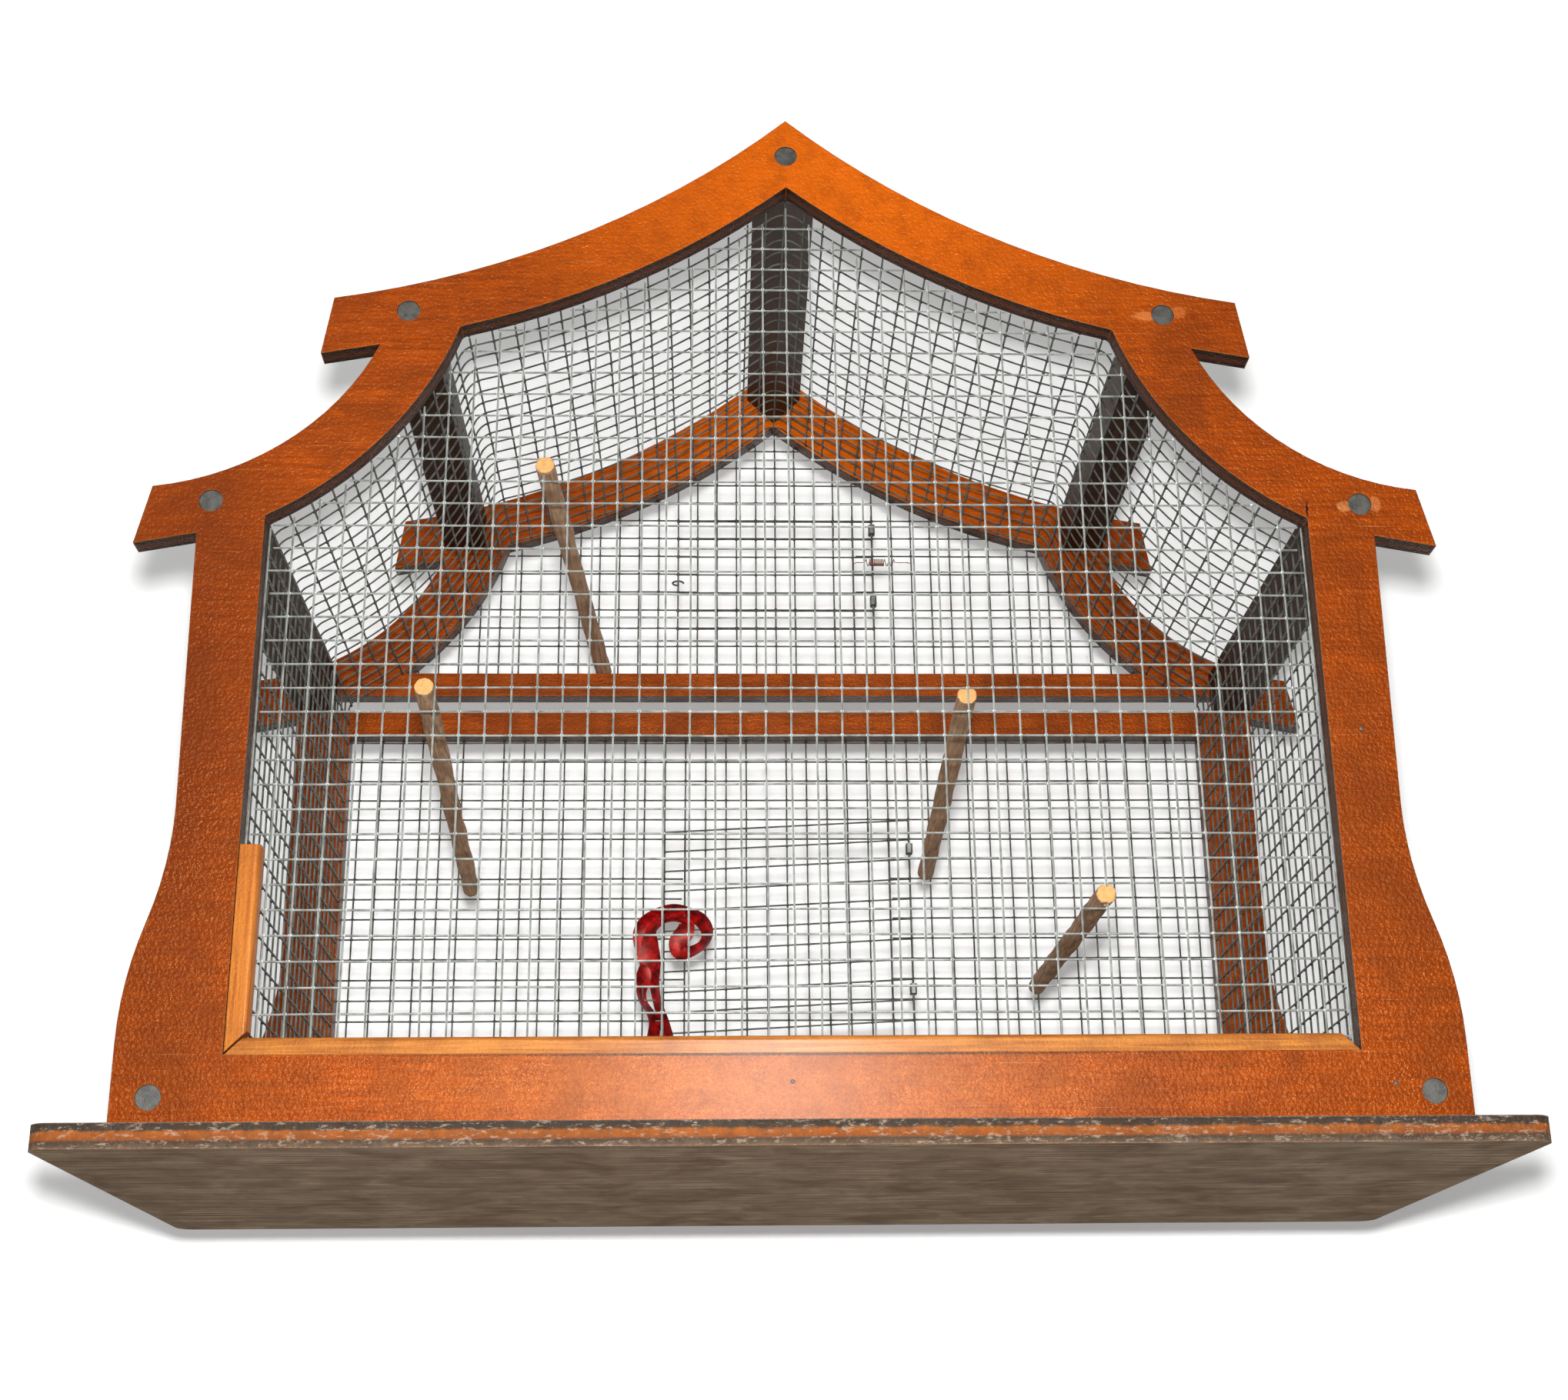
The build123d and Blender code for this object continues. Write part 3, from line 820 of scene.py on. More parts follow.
@dataclass(frozen=True)
class SatinRibbon(Finish):
    """Woven polyester satin ribbon: a deep red sheen with fine cross threads, and soft patches of painted
    shade and paler painted sheen that stand in for its creases.

    Its cross threads follow one another along the ribbon's own map, which has units of 32.1 mm,
    and a wave texture draws 20 / tau waves to a unit of its scale.
    """

    name: str = "satin ribbon"
    weft: float = 0.252
    map_unit: float = 32.1
    fold_shade_size: float = 5.263

    def shade(self, add: AddNode) -> bpy.types.Node:
        """Builds the surface's nodes.

        Args:
            add: Adds a node to the material.

        Returns:
            The shader.
        """
        texture = add("TexCoord")
        # Painted shade and painted sheen: a noise darkens and lightens the red in soft patches, as creases
        # would
        painted_fold_shade = add(
            "TexNoise",
            {
                "Vector": texture.outputs["Object"], "Scale": per(self.fold_shade_size),
                "Detail": 3.0, "Roughness": 0.6,
            },
        )
        scale = math.tau / 20 * self.map_unit / self.weft
        threads = add(
            "TexWave",
            {
                "Vector": texture.outputs["UV"], "bands_direction": "X",
                "Scale": scale, "Distortion": 0.2,
            },
        )
        # The ramp's dark end is painted shade and its pale end painted sheen
        stops = ((0.36, "#3C0204"), (0.5, "#8C060A"), (0.64, "#C81214"))
        relief = {"Strength": 0.25, "Distance": 0.08 * MM, "Height": threads.outputs["Fac"]}
        return add(
            "BsdfPrincipled",
            {
                "Base Color": add("ValToRGB", {"Fac": painted_fold_shade, "stops": stops}),
                "Normal": add("Bump", relief),
                "Roughness": 0.42, "Sheen Weight": 0.04, "Sheen Roughness": 0.4, "IOR": 1.5,
                "Specular Tint": "#FF8C80",
            },
        )


@dataclass(frozen=True)
class StagePaper(Finish):
    """Matt white stage surface that shows from its front side alone and glows a little.

    The backdrop's glow is weak behind the cage, so that the cage's shadow shows on it.
    """

    name: str = "stage paper"
    colour: str = "#F7F7F6"
    glow: float = 0.36
    glow_from: Span | None = None
    glow_near: float = 0.2
    glow_middle: Place = (0.0, 0.335, 0.28)

    def shade(self, add: AddNode) -> bpy.types.Node:
        """Builds the surface's nodes.

        Args:
            add: Adds a node to the material.

        Returns:
            The shader.
        """
        strength: float | bpy.types.Node = self.glow
        if self.glow_from:
            place = add("TexCoord").outputs["Object"]
            away = add("VectorMath", {"operation": "DISTANCE", 0: place, 1: self.glow_middle})
            start, full = self.glow_from
            reach = {"From Min": start, "From Max": full, "To Min": self.glow_near, "To Max": self.glow}
            strength = add("MapRange", {"Value": away, **reach})
        paper = add("BsdfDiffuse", {"Color": self.colour})
        light = add("Emission", {"Color": self.colour, "Strength": strength})
        both = add("AddShader", {0: paper, 1: light})
        behind = add("NewGeometry").outputs["Backfacing"]
        return add("MixShader", {0: behind, 1: both, 2: add("BsdfTransparent")})


FRAME_MARKS_AND_PAINTED_LIGHT = (
    # Painted pool of light: a paler, brighter orange over the ridge of the front and back frames
    Mark((45, 0, 530), (235, 900, 150), "#FF7604", 0.88, 1.0, 0.2),
    Mark((-300, 0, 190), (60, 900, 260), "#6A2303", 0.8, 0.8, 0.5),
    Mark((300, 0, 130), (52, 900, 200), "#7C3004", 0.4, 0.8, 0.5),
    # Painted highlight: a pale orange patch along the bottom rail, where the varnish shines
    Mark((-20, 0, 28), (190, 900, 40), "#D8741C", 0.7, 1.0, 0.6),
    Mark((190.5, -146, 438.0), (7.5, 4, 3.2), "#D97A38", 0.9),
    Mark((208.5, -146, 440.5), (5.0, 4, 4.2), "#C8682C", 0.8),
    Mark((286.5, -146, 326.5), (4.5, 4, 3.4), "#D9884C", 0.9),
    Mark((302.5, -146, 328.0), (3.6, 4, 5.0), "#C8703A", 0.9),
    Mark((266.9, -146, 325.0), (0.9, 20, 5.8), "#1A0E08", 1.0, 0.5, 0.1),
    # Painted shade: a dark line along the joint under the bottom bead
    Mark((0, -146, 43.5), (214, 4, 1.0), "#3A1C0A", 0.95, 0.6, 0.5),
)


@dataclass(frozen=True)
class Finishes:
    """Every finish on the cage."""

    # Plywood brushed with orange stain and varnish: uneven deep orange, a soft warm shine, and as marks a
    # painted pool of light over the ridge, a painted highlight on the bottom rail, darker patches on the
    # legs, a painted shade line under the bottom bead, veneer tears by the screws and an overrun saw cut
    frame_ply: Plywood = Plywood(
        name="stained plywood",
        dark="#863402", middle="#A84403", pale="#C25304", blotch="#7C2E02", scuff="#D98A4C",
        plies=(
            (0.0, "#24120A"), (0.22, "#1A0D08"), (0.36, "#5E2A0C"), (0.62, "#50220A"),
            (0.72, "#1E0F08"), (1.0, "#2C160A"),
        ),
        face=Axis.Y, ply_start=134.0, grain_length=30.0, grain_width=1.5, roughness=0.3,
        marks=FRAME_MARKS_AND_PAINTED_LIGHT,
    )
    # The same plywood left raw: greyed and dirty on its faces, chipped along its edges
    base_ply: Plywood = Plywood(
        name="weathered plywood",
        dark="#5A4432", middle="#A78C6E", pale="#D8BE9E", blotch="#785E48", scuff="#B49A84",
        plies=(
            (0.0, "#8A5A36"), (0.08, "#6E5A48"), (0.26, "#544436"), (0.36, "#A85820"),
            (0.62, "#B4621E"), (0.72, "#4A3A2E"), (1.0, "#38302A"),
        ),
        face=Axis.Z, ply_start=0.0, grain_length=90.0, grain_width=2.2, roughness=0.7,
        coat=0.0, varnish="#FFF0E0", scuffing=0.75, fleck="#2A221C", chip="#C6B09A", chipping=0.55,
    )
    # Planed softwood bar in black-brown stain: nearly black, with a dull sheen
    rail_wood: SawnWood = SawnWood(
        name="stained rail", dark="#170C06", middle="#2A170C", pale="#452613", end="#1E120C",
        along=Axis.Y, roughness=0.5,
    )
    # Planed softwood bead in amber stain and thin varnish: yellower than the frame
    bead_wood: SawnWood = SawnWood(
        name="stained bead", dark="#9A5018", middle="#C4742A", pale="#DC9040", end="#8A4A1C",
        along=Axis.X, roughness=0.45, coat=0.04, grime="#8A4314", grime_share=0.5,
    )
    # The same bead, upright and a little redder
    side_bead_wood: SawnWood = SawnWood(
        name="stained upright bead", dark="#A85618", middle="#CC7424", pale="#E08A34",
        end="#8A4A1C", along=Axis.Z, roughness=0.45, coat=0.04, grime="#9A4C16", grime_share=0.4,
    )
    # Whittled branch: dry greyed bark and a fresh pale saw cut at its end
    perch_wood: SawnWood = SawnWood(
        name="weathered branch", dark="#8C6C50", middle="#BC987A", pale="#D8B896", end="#FFBE78",
        along=Axis.Y, grain_width=1.2, roughness=0.75, grime="#7C5C42", grime_share=0.6,
    )
    # Hot-dip zinc on welded wire: pale grey in front, with nearly white weld beads that are a painted
    # highlight; behind, a darker copy of the same zinc with dark beads, as painted shade
    zinc: WireMetal = WireMetal("bright zinc wire", "#7A7E77", "#AEB2AC", 0.3, 0.42, bead="#FAFCF8")
    # Painted shade: the front zinc made darker, beads and all, for the wrap net and the nets behind
    shaded_zinc: WireMetal = WireMetal(
        "shaded zinc wire", "#42443E", "#70736C", 0.4, 0.5, bead="#34362F"
    )
    # Bare, rusted, blackened and bright steel: from dull grey through brown to a clean glint
    clip_steel: WireMetal = WireMetal("dull clip steel", "#343632", "#62645E", 0.6, 0.5)
    rust: WireMetal = WireMetal(
        "rusted spring wire", "#4A2A18", "#8A5A3C", 0.35, 0.7, patch=3.0, relief=0.15
    )
    black_steel: WireMetal = WireMetal(
        "blackened screw steel", "#1C1A17", "#3E3C36", 0.4, 0.55, patch=4.0, relief=0.3
    )
    staple_steel: WireMetal = WireMetal("staple steel", "#6E6F6A", "#A2A49E", 0.9, 0.4)
    ribbon: SatinRibbon = SatinRibbon()
    floor_paper: StagePaper = StagePaper()
    back_paper: StagePaper = StagePaper(
        "backdrop paper", colour="#E6E6E5", glow=1.0, glow_from=(0.5, 1.4)
    )


@dataclass
class WireStock:
    """Straight wire, modelled once for each number of joints and copied for each length."""

    diameter: float
    sides: int = 6
    joint_pitch: float = 40.0
    bead_share: float = 1.95
    masters: dict[int, bpy.types.Object] = field(default_factory=dict)
    bead_key: int = -1

    def master(self, cuts: int) -> bpy.types.Object:
        """Models a wire one metre long with evenly spaced joints.

        Args:
            cuts: How many joints it has along it.

        Returns:
            The pattern wire, along Z.
        """
        if cuts in self.masters:
            return self.masters[cuts]
        deselect_all()
        bpy.ops.mesh.primitive_cylinder_add(
            vertices=self.sides, radius=self.diameter / 2 * MM, depth=1.0, end_fill_type="NGON"
        )
        wire = bpy.context.active_object
        if cuts:
            bpy.ops.object.mode_set(mode="EDIT")
            bpy.ops.mesh.select_mode(type="EDGE")
            bpy.ops.mesh.select_all(action="DESELECT")
            bpy.ops.object.mode_set(mode="OBJECT")
            for edge in wire.data.edges:
                ends = [wire.data.vertices[i].co.z for i in edge.vertices]
                edge.select = abs(ends[0] - ends[1]) > 0.5
            bpy.ops.object.mode_set(mode="EDIT")
            bpy.ops.mesh.subdivide(number_cuts=cuts)
            bpy.ops.object.mode_set(mode="OBJECT")
        self.masters[cuts] = wire
        return wire

    def cut(self, start: Vector, end: Vector) -> bpy.types.Object:
        """Cuts a wire to reach from one point to another, in metres.

        Args:
            start: Where the wire begins.
            end: Where it ends.

        Returns:
            The wire.
        """
        run = end - start
        cuts = int(run.length / (self.joint_pitch * MM))
        turn = run.to_track_quat("Z", "Y").to_matrix().to_4x4()
        place = Matrix.Translation((start + end) / 2) @ turn @ Matrix.Diagonal((1, 1, run.length, 1))
        return copied(self.master(cuts), place)

    def bead(self, place: Vector) -> bpy.types.Object:
        """Sets the bead of zinc that fills a weld where two wires cross.

        Args:
            place: The middle of the weld, in metres.

        Returns:
            The bead.
        """
        if self.bead_key not in self.masters:
            deselect_all()
            bpy.ops.mesh.primitive_ico_sphere_add(
                subdivisions=1, radius=self.diameter * self.bead_share / 2 * MM
            )
            bead = bpy.context.active_object
            weld = bead.data.attributes.new("weld", "FLOAT", "POINT")
            for point in weld.data:
                point.value = 1.0
            self.masters[self.bead_key] = bead
        return copied(self.masters[self.bead_key], Matrix.Translation(place))

    def clear(self) -> None:
        """Takes the pattern pieces out of the scene."""
        for piece in self.masters.values():
            erase(piece)
        self.masters.clear()


@dataclass
class FlatNet:
    """A flat piece of welded net in an upright plane, with ragged cut ends.

    Upright wires lie in one layer and level wires in the other, a wire's width apart, and are
    welded where they cross. A hole takes out what lies well inside its two spans.
    """

    name: str
    node: str
    body: str
    columns: Sequence[float]
    rows: Sequence[float]
    upright_y: float
    level_y: float
    column_run: Callable[[float], Span]
    row_run: Callable[[float], Span]
    slope: Callable[[float], float] = lambda across: 0.0
    hole: tuple[Span, Span] | None = None
    hole_margin: float = 2.0
    ragged: float = 1.2
    wave: float = 0.35
    seed: int = 1

    def kept(self, whole: Span, place: float, across: int) -> list[Span]:
        """Splits a wire's run where the hole is cut out of it.

        Args:
            whole: The run from end to end.
            place: Where the wire stands, on the axis across its run.
            across: The hole's span on that axis: 0 for an upright wire and 1 for a level one.

        Returns:
            The runs that are left.
        """
        if self.hole is None:
            return [whole]
        low, high = self.hole[across]
        cut = self.hole[1 - across]
        if not low + self.hole_margin < place < high - self.hole_margin:
            return [whole]
        if cut[0] >= whole[1] or cut[1] <= whole[0]:
            return [whole]
        runs = ((whole[0], cut[0]), (cut[1], whole[1]))
        return [run for run in runs if run[1] - run[0] > self.hole_margin]

    def upright_runs(self, across: float) -> list[Span]:
        """Gives the heights that the upright wire at a place across reaches over."""
        return self.kept(self.column_run(across), across, 0)

    def level_runs(self, height: float) -> list[Span]:
        """Gives the widths that the level wire at a height reaches over."""
        return self.kept(self.row_run(height), height, 1)

    def build(self, stock: WireStock, finish: Finish) -> bpy.types.Object:
        """Cuts, places and joins the net's wires.

        Args:
            stock: The wire that the net is welded from.
            finish: The wire's finish.

        Returns:
            The finished net.
        """
        chance = random.Random(self.seed)
        wires: list[bpy.types.Object] = []
        for x in self.columns:
            for low, high in self.upright_runs(x):
                ends = low + chance.uniform(0, self.ragged), high - chance.uniform(0, self.ragged)
                wires.append(stock.cut(*(metres(x, self.upright_y, end) for end in ends)))
        for z in self.rows:
            for left, right in self.level_runs(z):
                ends = left + chance.uniform(0, self.ragged), right - chance.uniform(0, self.ragged)
                places = [metres(end, self.level_y, z + self.slope(end)) for end in ends]
                wires.append(stock.cut(*places))
        wires += [stock.bead(place) for place in self.crossings()]
        net = joined(wires, self.name)
        waved(net, self.wave, self.seed)
        smooth(net)
        finish.dress(net)
        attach(net, self.body)
        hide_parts(self.node)
        return net

    def crossings(self) -> list[Vector]:
        """Gives each place where an upright wire is welded to a level one, in metres."""
        middle = (self.upright_y + self.level_y) / 2
        return [
            metres(x, middle, z + self.slope(x))
            for x in self.columns
            for z in self.rows
            if any(low < z + self.slope(x) < high for low, high in self.upright_runs(x))
            and any(left < x < right for left, right in self.level_runs(z))
        ]


def waved(piece: bpy.types.Object, size: float, seed: int, period: float = 55.0) -> None:
    """Moves a net's wires a little from true, together where they are welded.

    Args:
        piece: The net.
        size: The largest move, in millimetres.
        seed: Picks one pattern of waves.
        period: The length of a wave, in millimetres.
    """
    # Unseeded, this noise starts from the clock, and the net would differ from run to run
    noise.seed_set(seed)
    for vertex in piece.data.vertices:
        vertex.co += noise.noise_vector(vertex.co / (period * MM)) * size * MM


@dataclass
class Nets:
    """The flat nets in the front opening, on the back and in the two doors.

    The holes and the missing bit of front wire are spans across and up, and the insets and tips
    say how far wires end inside or outside of what they are cut to, all in millimetres.
    """

    sizes: CageSizes
    bright: Finish
    dull: Finish
    stock: WireStock
    edge_inset: float = 0.9
    front_play: float = 0.6
    under_ridge: Pair = (60.0, 4.5)
    missing_wire: tuple[Span, Span] = ((-190.2, -178.2), (228.0, 233.0))
    gable_hole: tuple[Span, Span] = ((-50.1, 51.5), (390.1, 440.9))
    lower_hole: tuple[Span, Span] = ((-57.2, 69.8), (133.7, 235.3))
    gable_middle: float = 0.7
    shortest: float = 20.0
    edge_gap: float = 1.0
    ridge_gap: float = 5.0
    front_insets: Pair = (0.8, 0.5)
    gable_insets: Triple = (0.5, 1.5, 1.0)
    lower_inset: float = 0.4
    gable_tips: Pair = (0.6, 5.0)
    lower_tips: Pair = (0.5, 0.6)
    side_tip: float = 0.5

    def front(self) -> FlatNet:
        """Lays out the net in the front opening, which stops short of the ridge rail."""
        s = self.sizes
        outline = OpeningOutline(s, -self.front_play)
        columns = spaced(-s.opening_half, s.pitch, range(s.squares + 1))
        columns[0] += self.edge_inset
        columns[-1] -= self.edge_inset
        ridge_half, ridge_cut = self.under_ridge
        top_inset, side_inset = self.front_insets
        return FlatNet(
            "front_net", "front_mesh", "root", columns, spaced(s.first_row, s.pitch, range(-1, 35)),
            upright_y=-s.frame_inner - s.far_layer, level_y=-s.frame_inner - s.near_layer,
            column_run=lambda x: (
                s.sill + self.front_play,
                outline.top_at(x) - top_inset - ridge_cut * (abs(x) < ridge_half),
            ),
            row_run=lambda z: outline.span_at(z, side_inset),
            hole=self.missing_wire, ragged=2.6, wave=0.45, seed=3,
        )

    def gable(self) -> FlatNet:
        """Lays out the net over the back gable window, with its door hole."""
        s = self.sizes
        outline = OpeningOutline(s, s.lap)
        columns = spaced(self.gable_middle, s.pitch, range(-20, 21))
        rows = spaced(s.gable_foot, s.pitch, range(-3, 12))
        top = s.inner_apex + self.ridge_gap
        foot = s.gable_window_bottom - s.lap
        foot_inset, top_inset, side_inset = self.gable_insets
        return FlatNet(
            "gable_net", "gable_mesh", "root",
            [x for x in columns if outline.top_at(x) > foot + self.shortest],
            [z for z in rows if foot + self.edge_gap < z < top],
            upright_y=s.frame_face + s.near_layer, level_y=s.frame_face + s.far_layer,
            column_run=lambda x: (foot + foot_inset, outline.top_at(x) - top_inset),
            row_run=lambda z: outline.span_at(z, side_inset),
            hole=self.gable_hole, ragged=2.0, seed=5,
        )

    def lower_back(self) -> FlatNet:
        """Lays out the net over the lower back window, with its door hole."""
        s = self.sizes
        half = s.opening_half + s.lap
        low, high = s.sill - s.lap, s.lower_window_top + s.lap
        columns = spaced(s.lower_hinge, s.pitch, range(-28, 16))
        rows = spaced(s.lower_foot, s.pitch, range(-6, 15))
        return FlatNet(
            "lower_back_net", "lower_back_mesh", "root",
            [x for x in columns if abs(x) < half - self.edge_gap],
            [z for z in rows if low + self.edge_gap < z < high - self.edge_gap],
            upright_y=s.frame_face + s.near_layer, level_y=s.frame_face + s.far_layer,
            column_run=lambda x: (low + self.lower_inset, high - self.lower_inset),
            row_run=lambda z: (-half + self.lower_inset, half - self.lower_inset),
            hole=self.lower_hole, ragged=2.4, seed=8,
        )

    def gable_door(self) -> FlatNet:
        """Lays out the flap over the gable hole, cut so that wire tips stand above it."""
        s = self.sizes
        across, up = s.gable_squares
        left, top = s.gable_hinge - across * s.pitch, s.gable_foot + up * s.pitch
        below, above = self.gable_tips
        return FlatNet(
            "gable_flap_net", "gable_door", "gable_flap",
            spaced(s.gable_hinge, -s.pitch, range(across + 1)),
            spaced(s.gable_foot, s.pitch, range(up + 1)),
            upright_y=s.door_inner + s.door_far_layer, level_y=s.door_inner + s.near_layer,
            column_run=lambda x: (s.gable_foot - below, top + above),
            row_run=lambda z: (left - self.side_tip, s.gable_hinge + self.side_tip),
            ragged=0.4, wave=0.0, seed=11,
        )

    def lower_door(self) -> FlatNet:
        """Lays out the flap over the lower hole, sagged out of square."""
        s = self.sizes
        across, up = s.lower_squares
        left, height = s.lower_hinge - across * s.pitch, up * s.pitch
        below, above = self.lower_tips

        def slope(x: float) -> float:
            """Gives how far the flap sags at a place across."""
            return s.rack * (x - s.lower_hinge)

        return FlatNet(
            "lower_flap_net", "lower_door", "lower_flap",
            spaced(s.lower_hinge, -s.pitch, range(across + 1)),
            spaced(s.lower_foot, s.pitch, range(up + 1)),
            upright_y=s.door_inner + s.door_far_layer, level_y=s.door_inner + s.near_layer,
            column_run=lambda x: (
                s.lower_foot + slope(x) - below, s.lower_foot + slope(x) + height + above
            ),
            row_run=lambda z: (left - self.side_tip, s.lower_hinge + self.side_tip),
            slope=slope, ragged=0.2, wave=0.0, seed=13,
        )

    def build(self) -> list[bpy.types.Object]:
        """Builds every flat net."""
        behind = (self.gable(), self.lower_back(), self.gable_door(), self.lower_door())
        return [self.front().build(self.stock, self.bright)] + [
            layout.build(self.stock, self.dull) for layout in behind
        ]


@dataclass
class WrapNet:
    """The net bent over the cage between its frames, in one sheet from foot to foot."""

    sizes: CageSizes
    finish: Finish
    stock: WireStock
    stand: float = 1.6
    bend: float = 9.0
    leg_points: tuple[int, int, int] = (14, 12, 15)
    foot_gap: float = 1.0
    ridge_share: float = 1.1
    end_play: float = 0.5
    ragged: float = 3.0
    wave: float = 0.4
    bead_rise: float = 0.4
    layer_rise: float = 0.9

    def legs(self) -> list[list[Pair]]:
        """Gives the straight and curved legs of the sheet's right-hand half, from the ridge."""
        s = self.sizes
        roof, wing = OpeningOutline(s).arcs()
        roof_count, wing_count, side_count = self.leg_points
        side = s.opening_half + self.stand
        drop = s.base_top + self.foot_gap - s.shoulder
        upright = [(side, s.shoulder + drop * i / (side_count - 1)) for i in range(side_count)]
        return [roof.points(roof_count, self.stand), wing.points(wing_count, self.stand), upright]

    def profile(self) -> list[Pair]:
        """Gives the sheet's bent line from its left foot to its right foot."""
        half: list[Pair] = []
        legs = self.legs()
        for index, leg in enumerate(legs):
            if index:
                leg = self.trimmed(leg, self.bend / 2, first=True)
            if index < len(legs) - 1:
                leg = self.trimmed(leg, self.bend / 2, first=False)
            if half:
                half += self.eased(half[-1], self.corner(legs[index - 1], legs[index]), leg[0])
            half += leg
        right = self.trimmed(half, self.bend, first=True)
        left = [(-x, z) for x, z in reversed(right)]
        ridge = (0.0, self.sizes.inner_apex + self.stand * self.ridge_share)
        return left + self.eased(left[-1], ridge, right[0]) + right

    @staticmethod
    def corner(before: list[Pair], after: list[Pair]) -> Pair:
        """Gives the place where two legs meet, between the end of one and the start of the next."""
        return ((before[-1][0] + after[0][0]) / 2, (before[-1][1] + after[0][1]) / 2)

    @staticmethod
    def trimmed(leg: list[Pair], length: float, first: bool) -> list[Pair]:
        """Cuts a length off a leg's first or last end.

        Args:
            leg: Points along the leg.
            length: How much is cut off.
            first: Whether it is the first end.

        Returns:
            The points that are left, with one at the cut.
        """
        line = leg if first else leg[::-1]
        kept = [point for point in line if math.dist(point, line[0]) > length]
        start = line[0]
        share = length / math.dist(start, kept[0])
        cut = tuple(a + (b - a) * share for a, b in zip(start, kept[0]))
        line = [cut] + kept
        return line if first else line[::-1]

    @staticmethod
    def eased(start: Pair, corner: Pair, end: Pair, steps: int = 6) -> list[Pair]:
        """Rounds a corner between two points.

        Args:
            start: The point before the corner.
            corner: The corner itself.
            end: The point after the corner.
            steps: How many straight bits make the bend.

        Returns:
            The points between the start and the end.
        """
        shares = [i / steps for i in range(1, steps)]
        return [
            tuple(
                (1 - t) ** 2 * a + 2 * t * (1 - t) * b + t**2 * c
                for a, b, c in zip(start, corner, end)
            )
            for t in shares
        ]

    def stations(self, line: list[Pair]) -> list[tuple[Pair, Pair]]:
        """Gives places one pitch apart along the bent line, each with its inward direction.

        Args:
            line: Points along the bent line.

        Returns:
            A place and a direction for each straight wire.
        """
        lengths = [math.dist(a, b) for a, b in zip(line, line[1:])]
        whole = sum(lengths)
        count = int(whole / self.sizes.pitch)
        start = (whole - count * self.sizes.pitch) / 2
        places = []
        for n in range(count + 1):
            left = start + n * self.sizes.pitch
            for (a, b), length in zip(zip(line, line[1:]), lengths):
                if left <= length:
                    share = left / length
                    way = ((b[0] - a[0]) / length, (b[1] - a[1]) / length)
                    point = (a[0] + (b[0] - a[0]) * share, a[1] + (b[1] - a[1]) * share)
                    places.append((point, (way[1], -way[0])))
                    break
                left -= length
        return places

    def build(self) -> bpy.types.Object:
        """Builds the bent wires, and the straight ones that run from front to back."""
        s = self.sizes
        line = self.profile()
        reach = s.frame_inner - self.end_play
        count = int(2 * reach / s.pitch)
        depths = spaced(-count * s.pitch / 2, s.pitch, range(count + 1))
        bent = as_mesh(wire_curve("bent_wire", [metres(x, 0, z) for x, z in line], s.wire))
        wires = [copied(bent, Matrix.Translation(metres(0, y, 0))) for y in depths]
        erase(bent)
        chance = random.Random(17)
        for (x, z), (inward_x, inward_z) in self.stations(line):
            rise = s.wire * self.bead_rise
            wires += [
                self.stock.bead(metres(x + inward_x * rise, y, z + inward_z * rise)) for y in depths
            ]
            rise = s.wire * self.layer_rise
            ends = -reach + chance.uniform(0, self.ragged), reach - chance.uniform(0, self.ragged)
            places = [metres(x + inward_x * rise, y, z + inward_z * rise) for y in ends]
            wires.append(self.stock.cut(*places))
        net = joined(wires, "wrap_net")
        waved(net, self.wave, seed=21)
        smooth(net)
        self.finish.dress(net)
        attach(net, "root")
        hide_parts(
            "roof_mesh_left", "roof_mesh_right", "eave_mesh_left", "eave_mesh_right",
            "side_mesh_left", "side_mesh_right",
        )
        return net


@dataclass
class ClosingSpring:
    """Rusty coil spring that pulls the gable door shut, hooked to the door and to the net.

    Its coils are runs of turns, each with its pitch: open at both ends and close between.
    """

    finish: Finish
    wire: float = 0.55
    radius: float = 2.2
    left: float = 51.5
    right: float = 89.6
    centre_y: float = 142.9
    centre_z: float = 421.85
    coils: tuple[Pair, ...] = ((1, 2.6), (12, 0.78), (2.5, 3.0))
    steps: int = 12
    hook_y: float = 145.7
    hook_dip: float = 1.6
    hook_lean: float = 0.8
    hook_reach: float = 2.2
    shank: float = 1.5
    hinge_y: float = 145.0

    def points(self) -> list[Vector]:
        """Gives points along the spring's wire, from the door's side to the net's side."""
        length = sum(turns * pitch for turns, pitch in self.coils)
        x = (self.left + self.right - length) / 2 - self.shank
        turn = 0.0
        dip = self.hook_y - self.hook_dip
        points = [(self.left, self.hook_y), (self.left + self.hook_lean, dip)]
        points += [(self.left + self.hook_reach, self.centre_y), (x - self.shank, self.centre_y)]
        line = [(across, y, self.centre_z) for across, y in points]
        for turns, pitch in self.coils:
            for _ in range(int(turns * self.steps)):
                y = self.centre_y - self.radius * math.cos(turn)
                line.append((x, y, self.centre_z + self.radius * math.sin(turn)))
                x += pitch / self.steps
                turn += math.tau / self.steps
        points = [(x + self.shank, self.centre_y), (self.right - self.hook_reach, self.centre_y)]
        points += [(self.right - self.hook_lean, dip), (self.right, self.hook_y)]
        line += [(across, y, self.centre_z) for across, y in points]
        return [metres(*point) for point in line]

    def build(self) -> bpy.types.Object:
        """Winds the spring."""
        spring = as_mesh(wire_curve("closing_spring", self.points(), self.wire))
        spring = applied(spring)
        smooth(spring)
        self.finish.dress(spring)
        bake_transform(spring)
        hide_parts("gable_door_spring")
        return spring


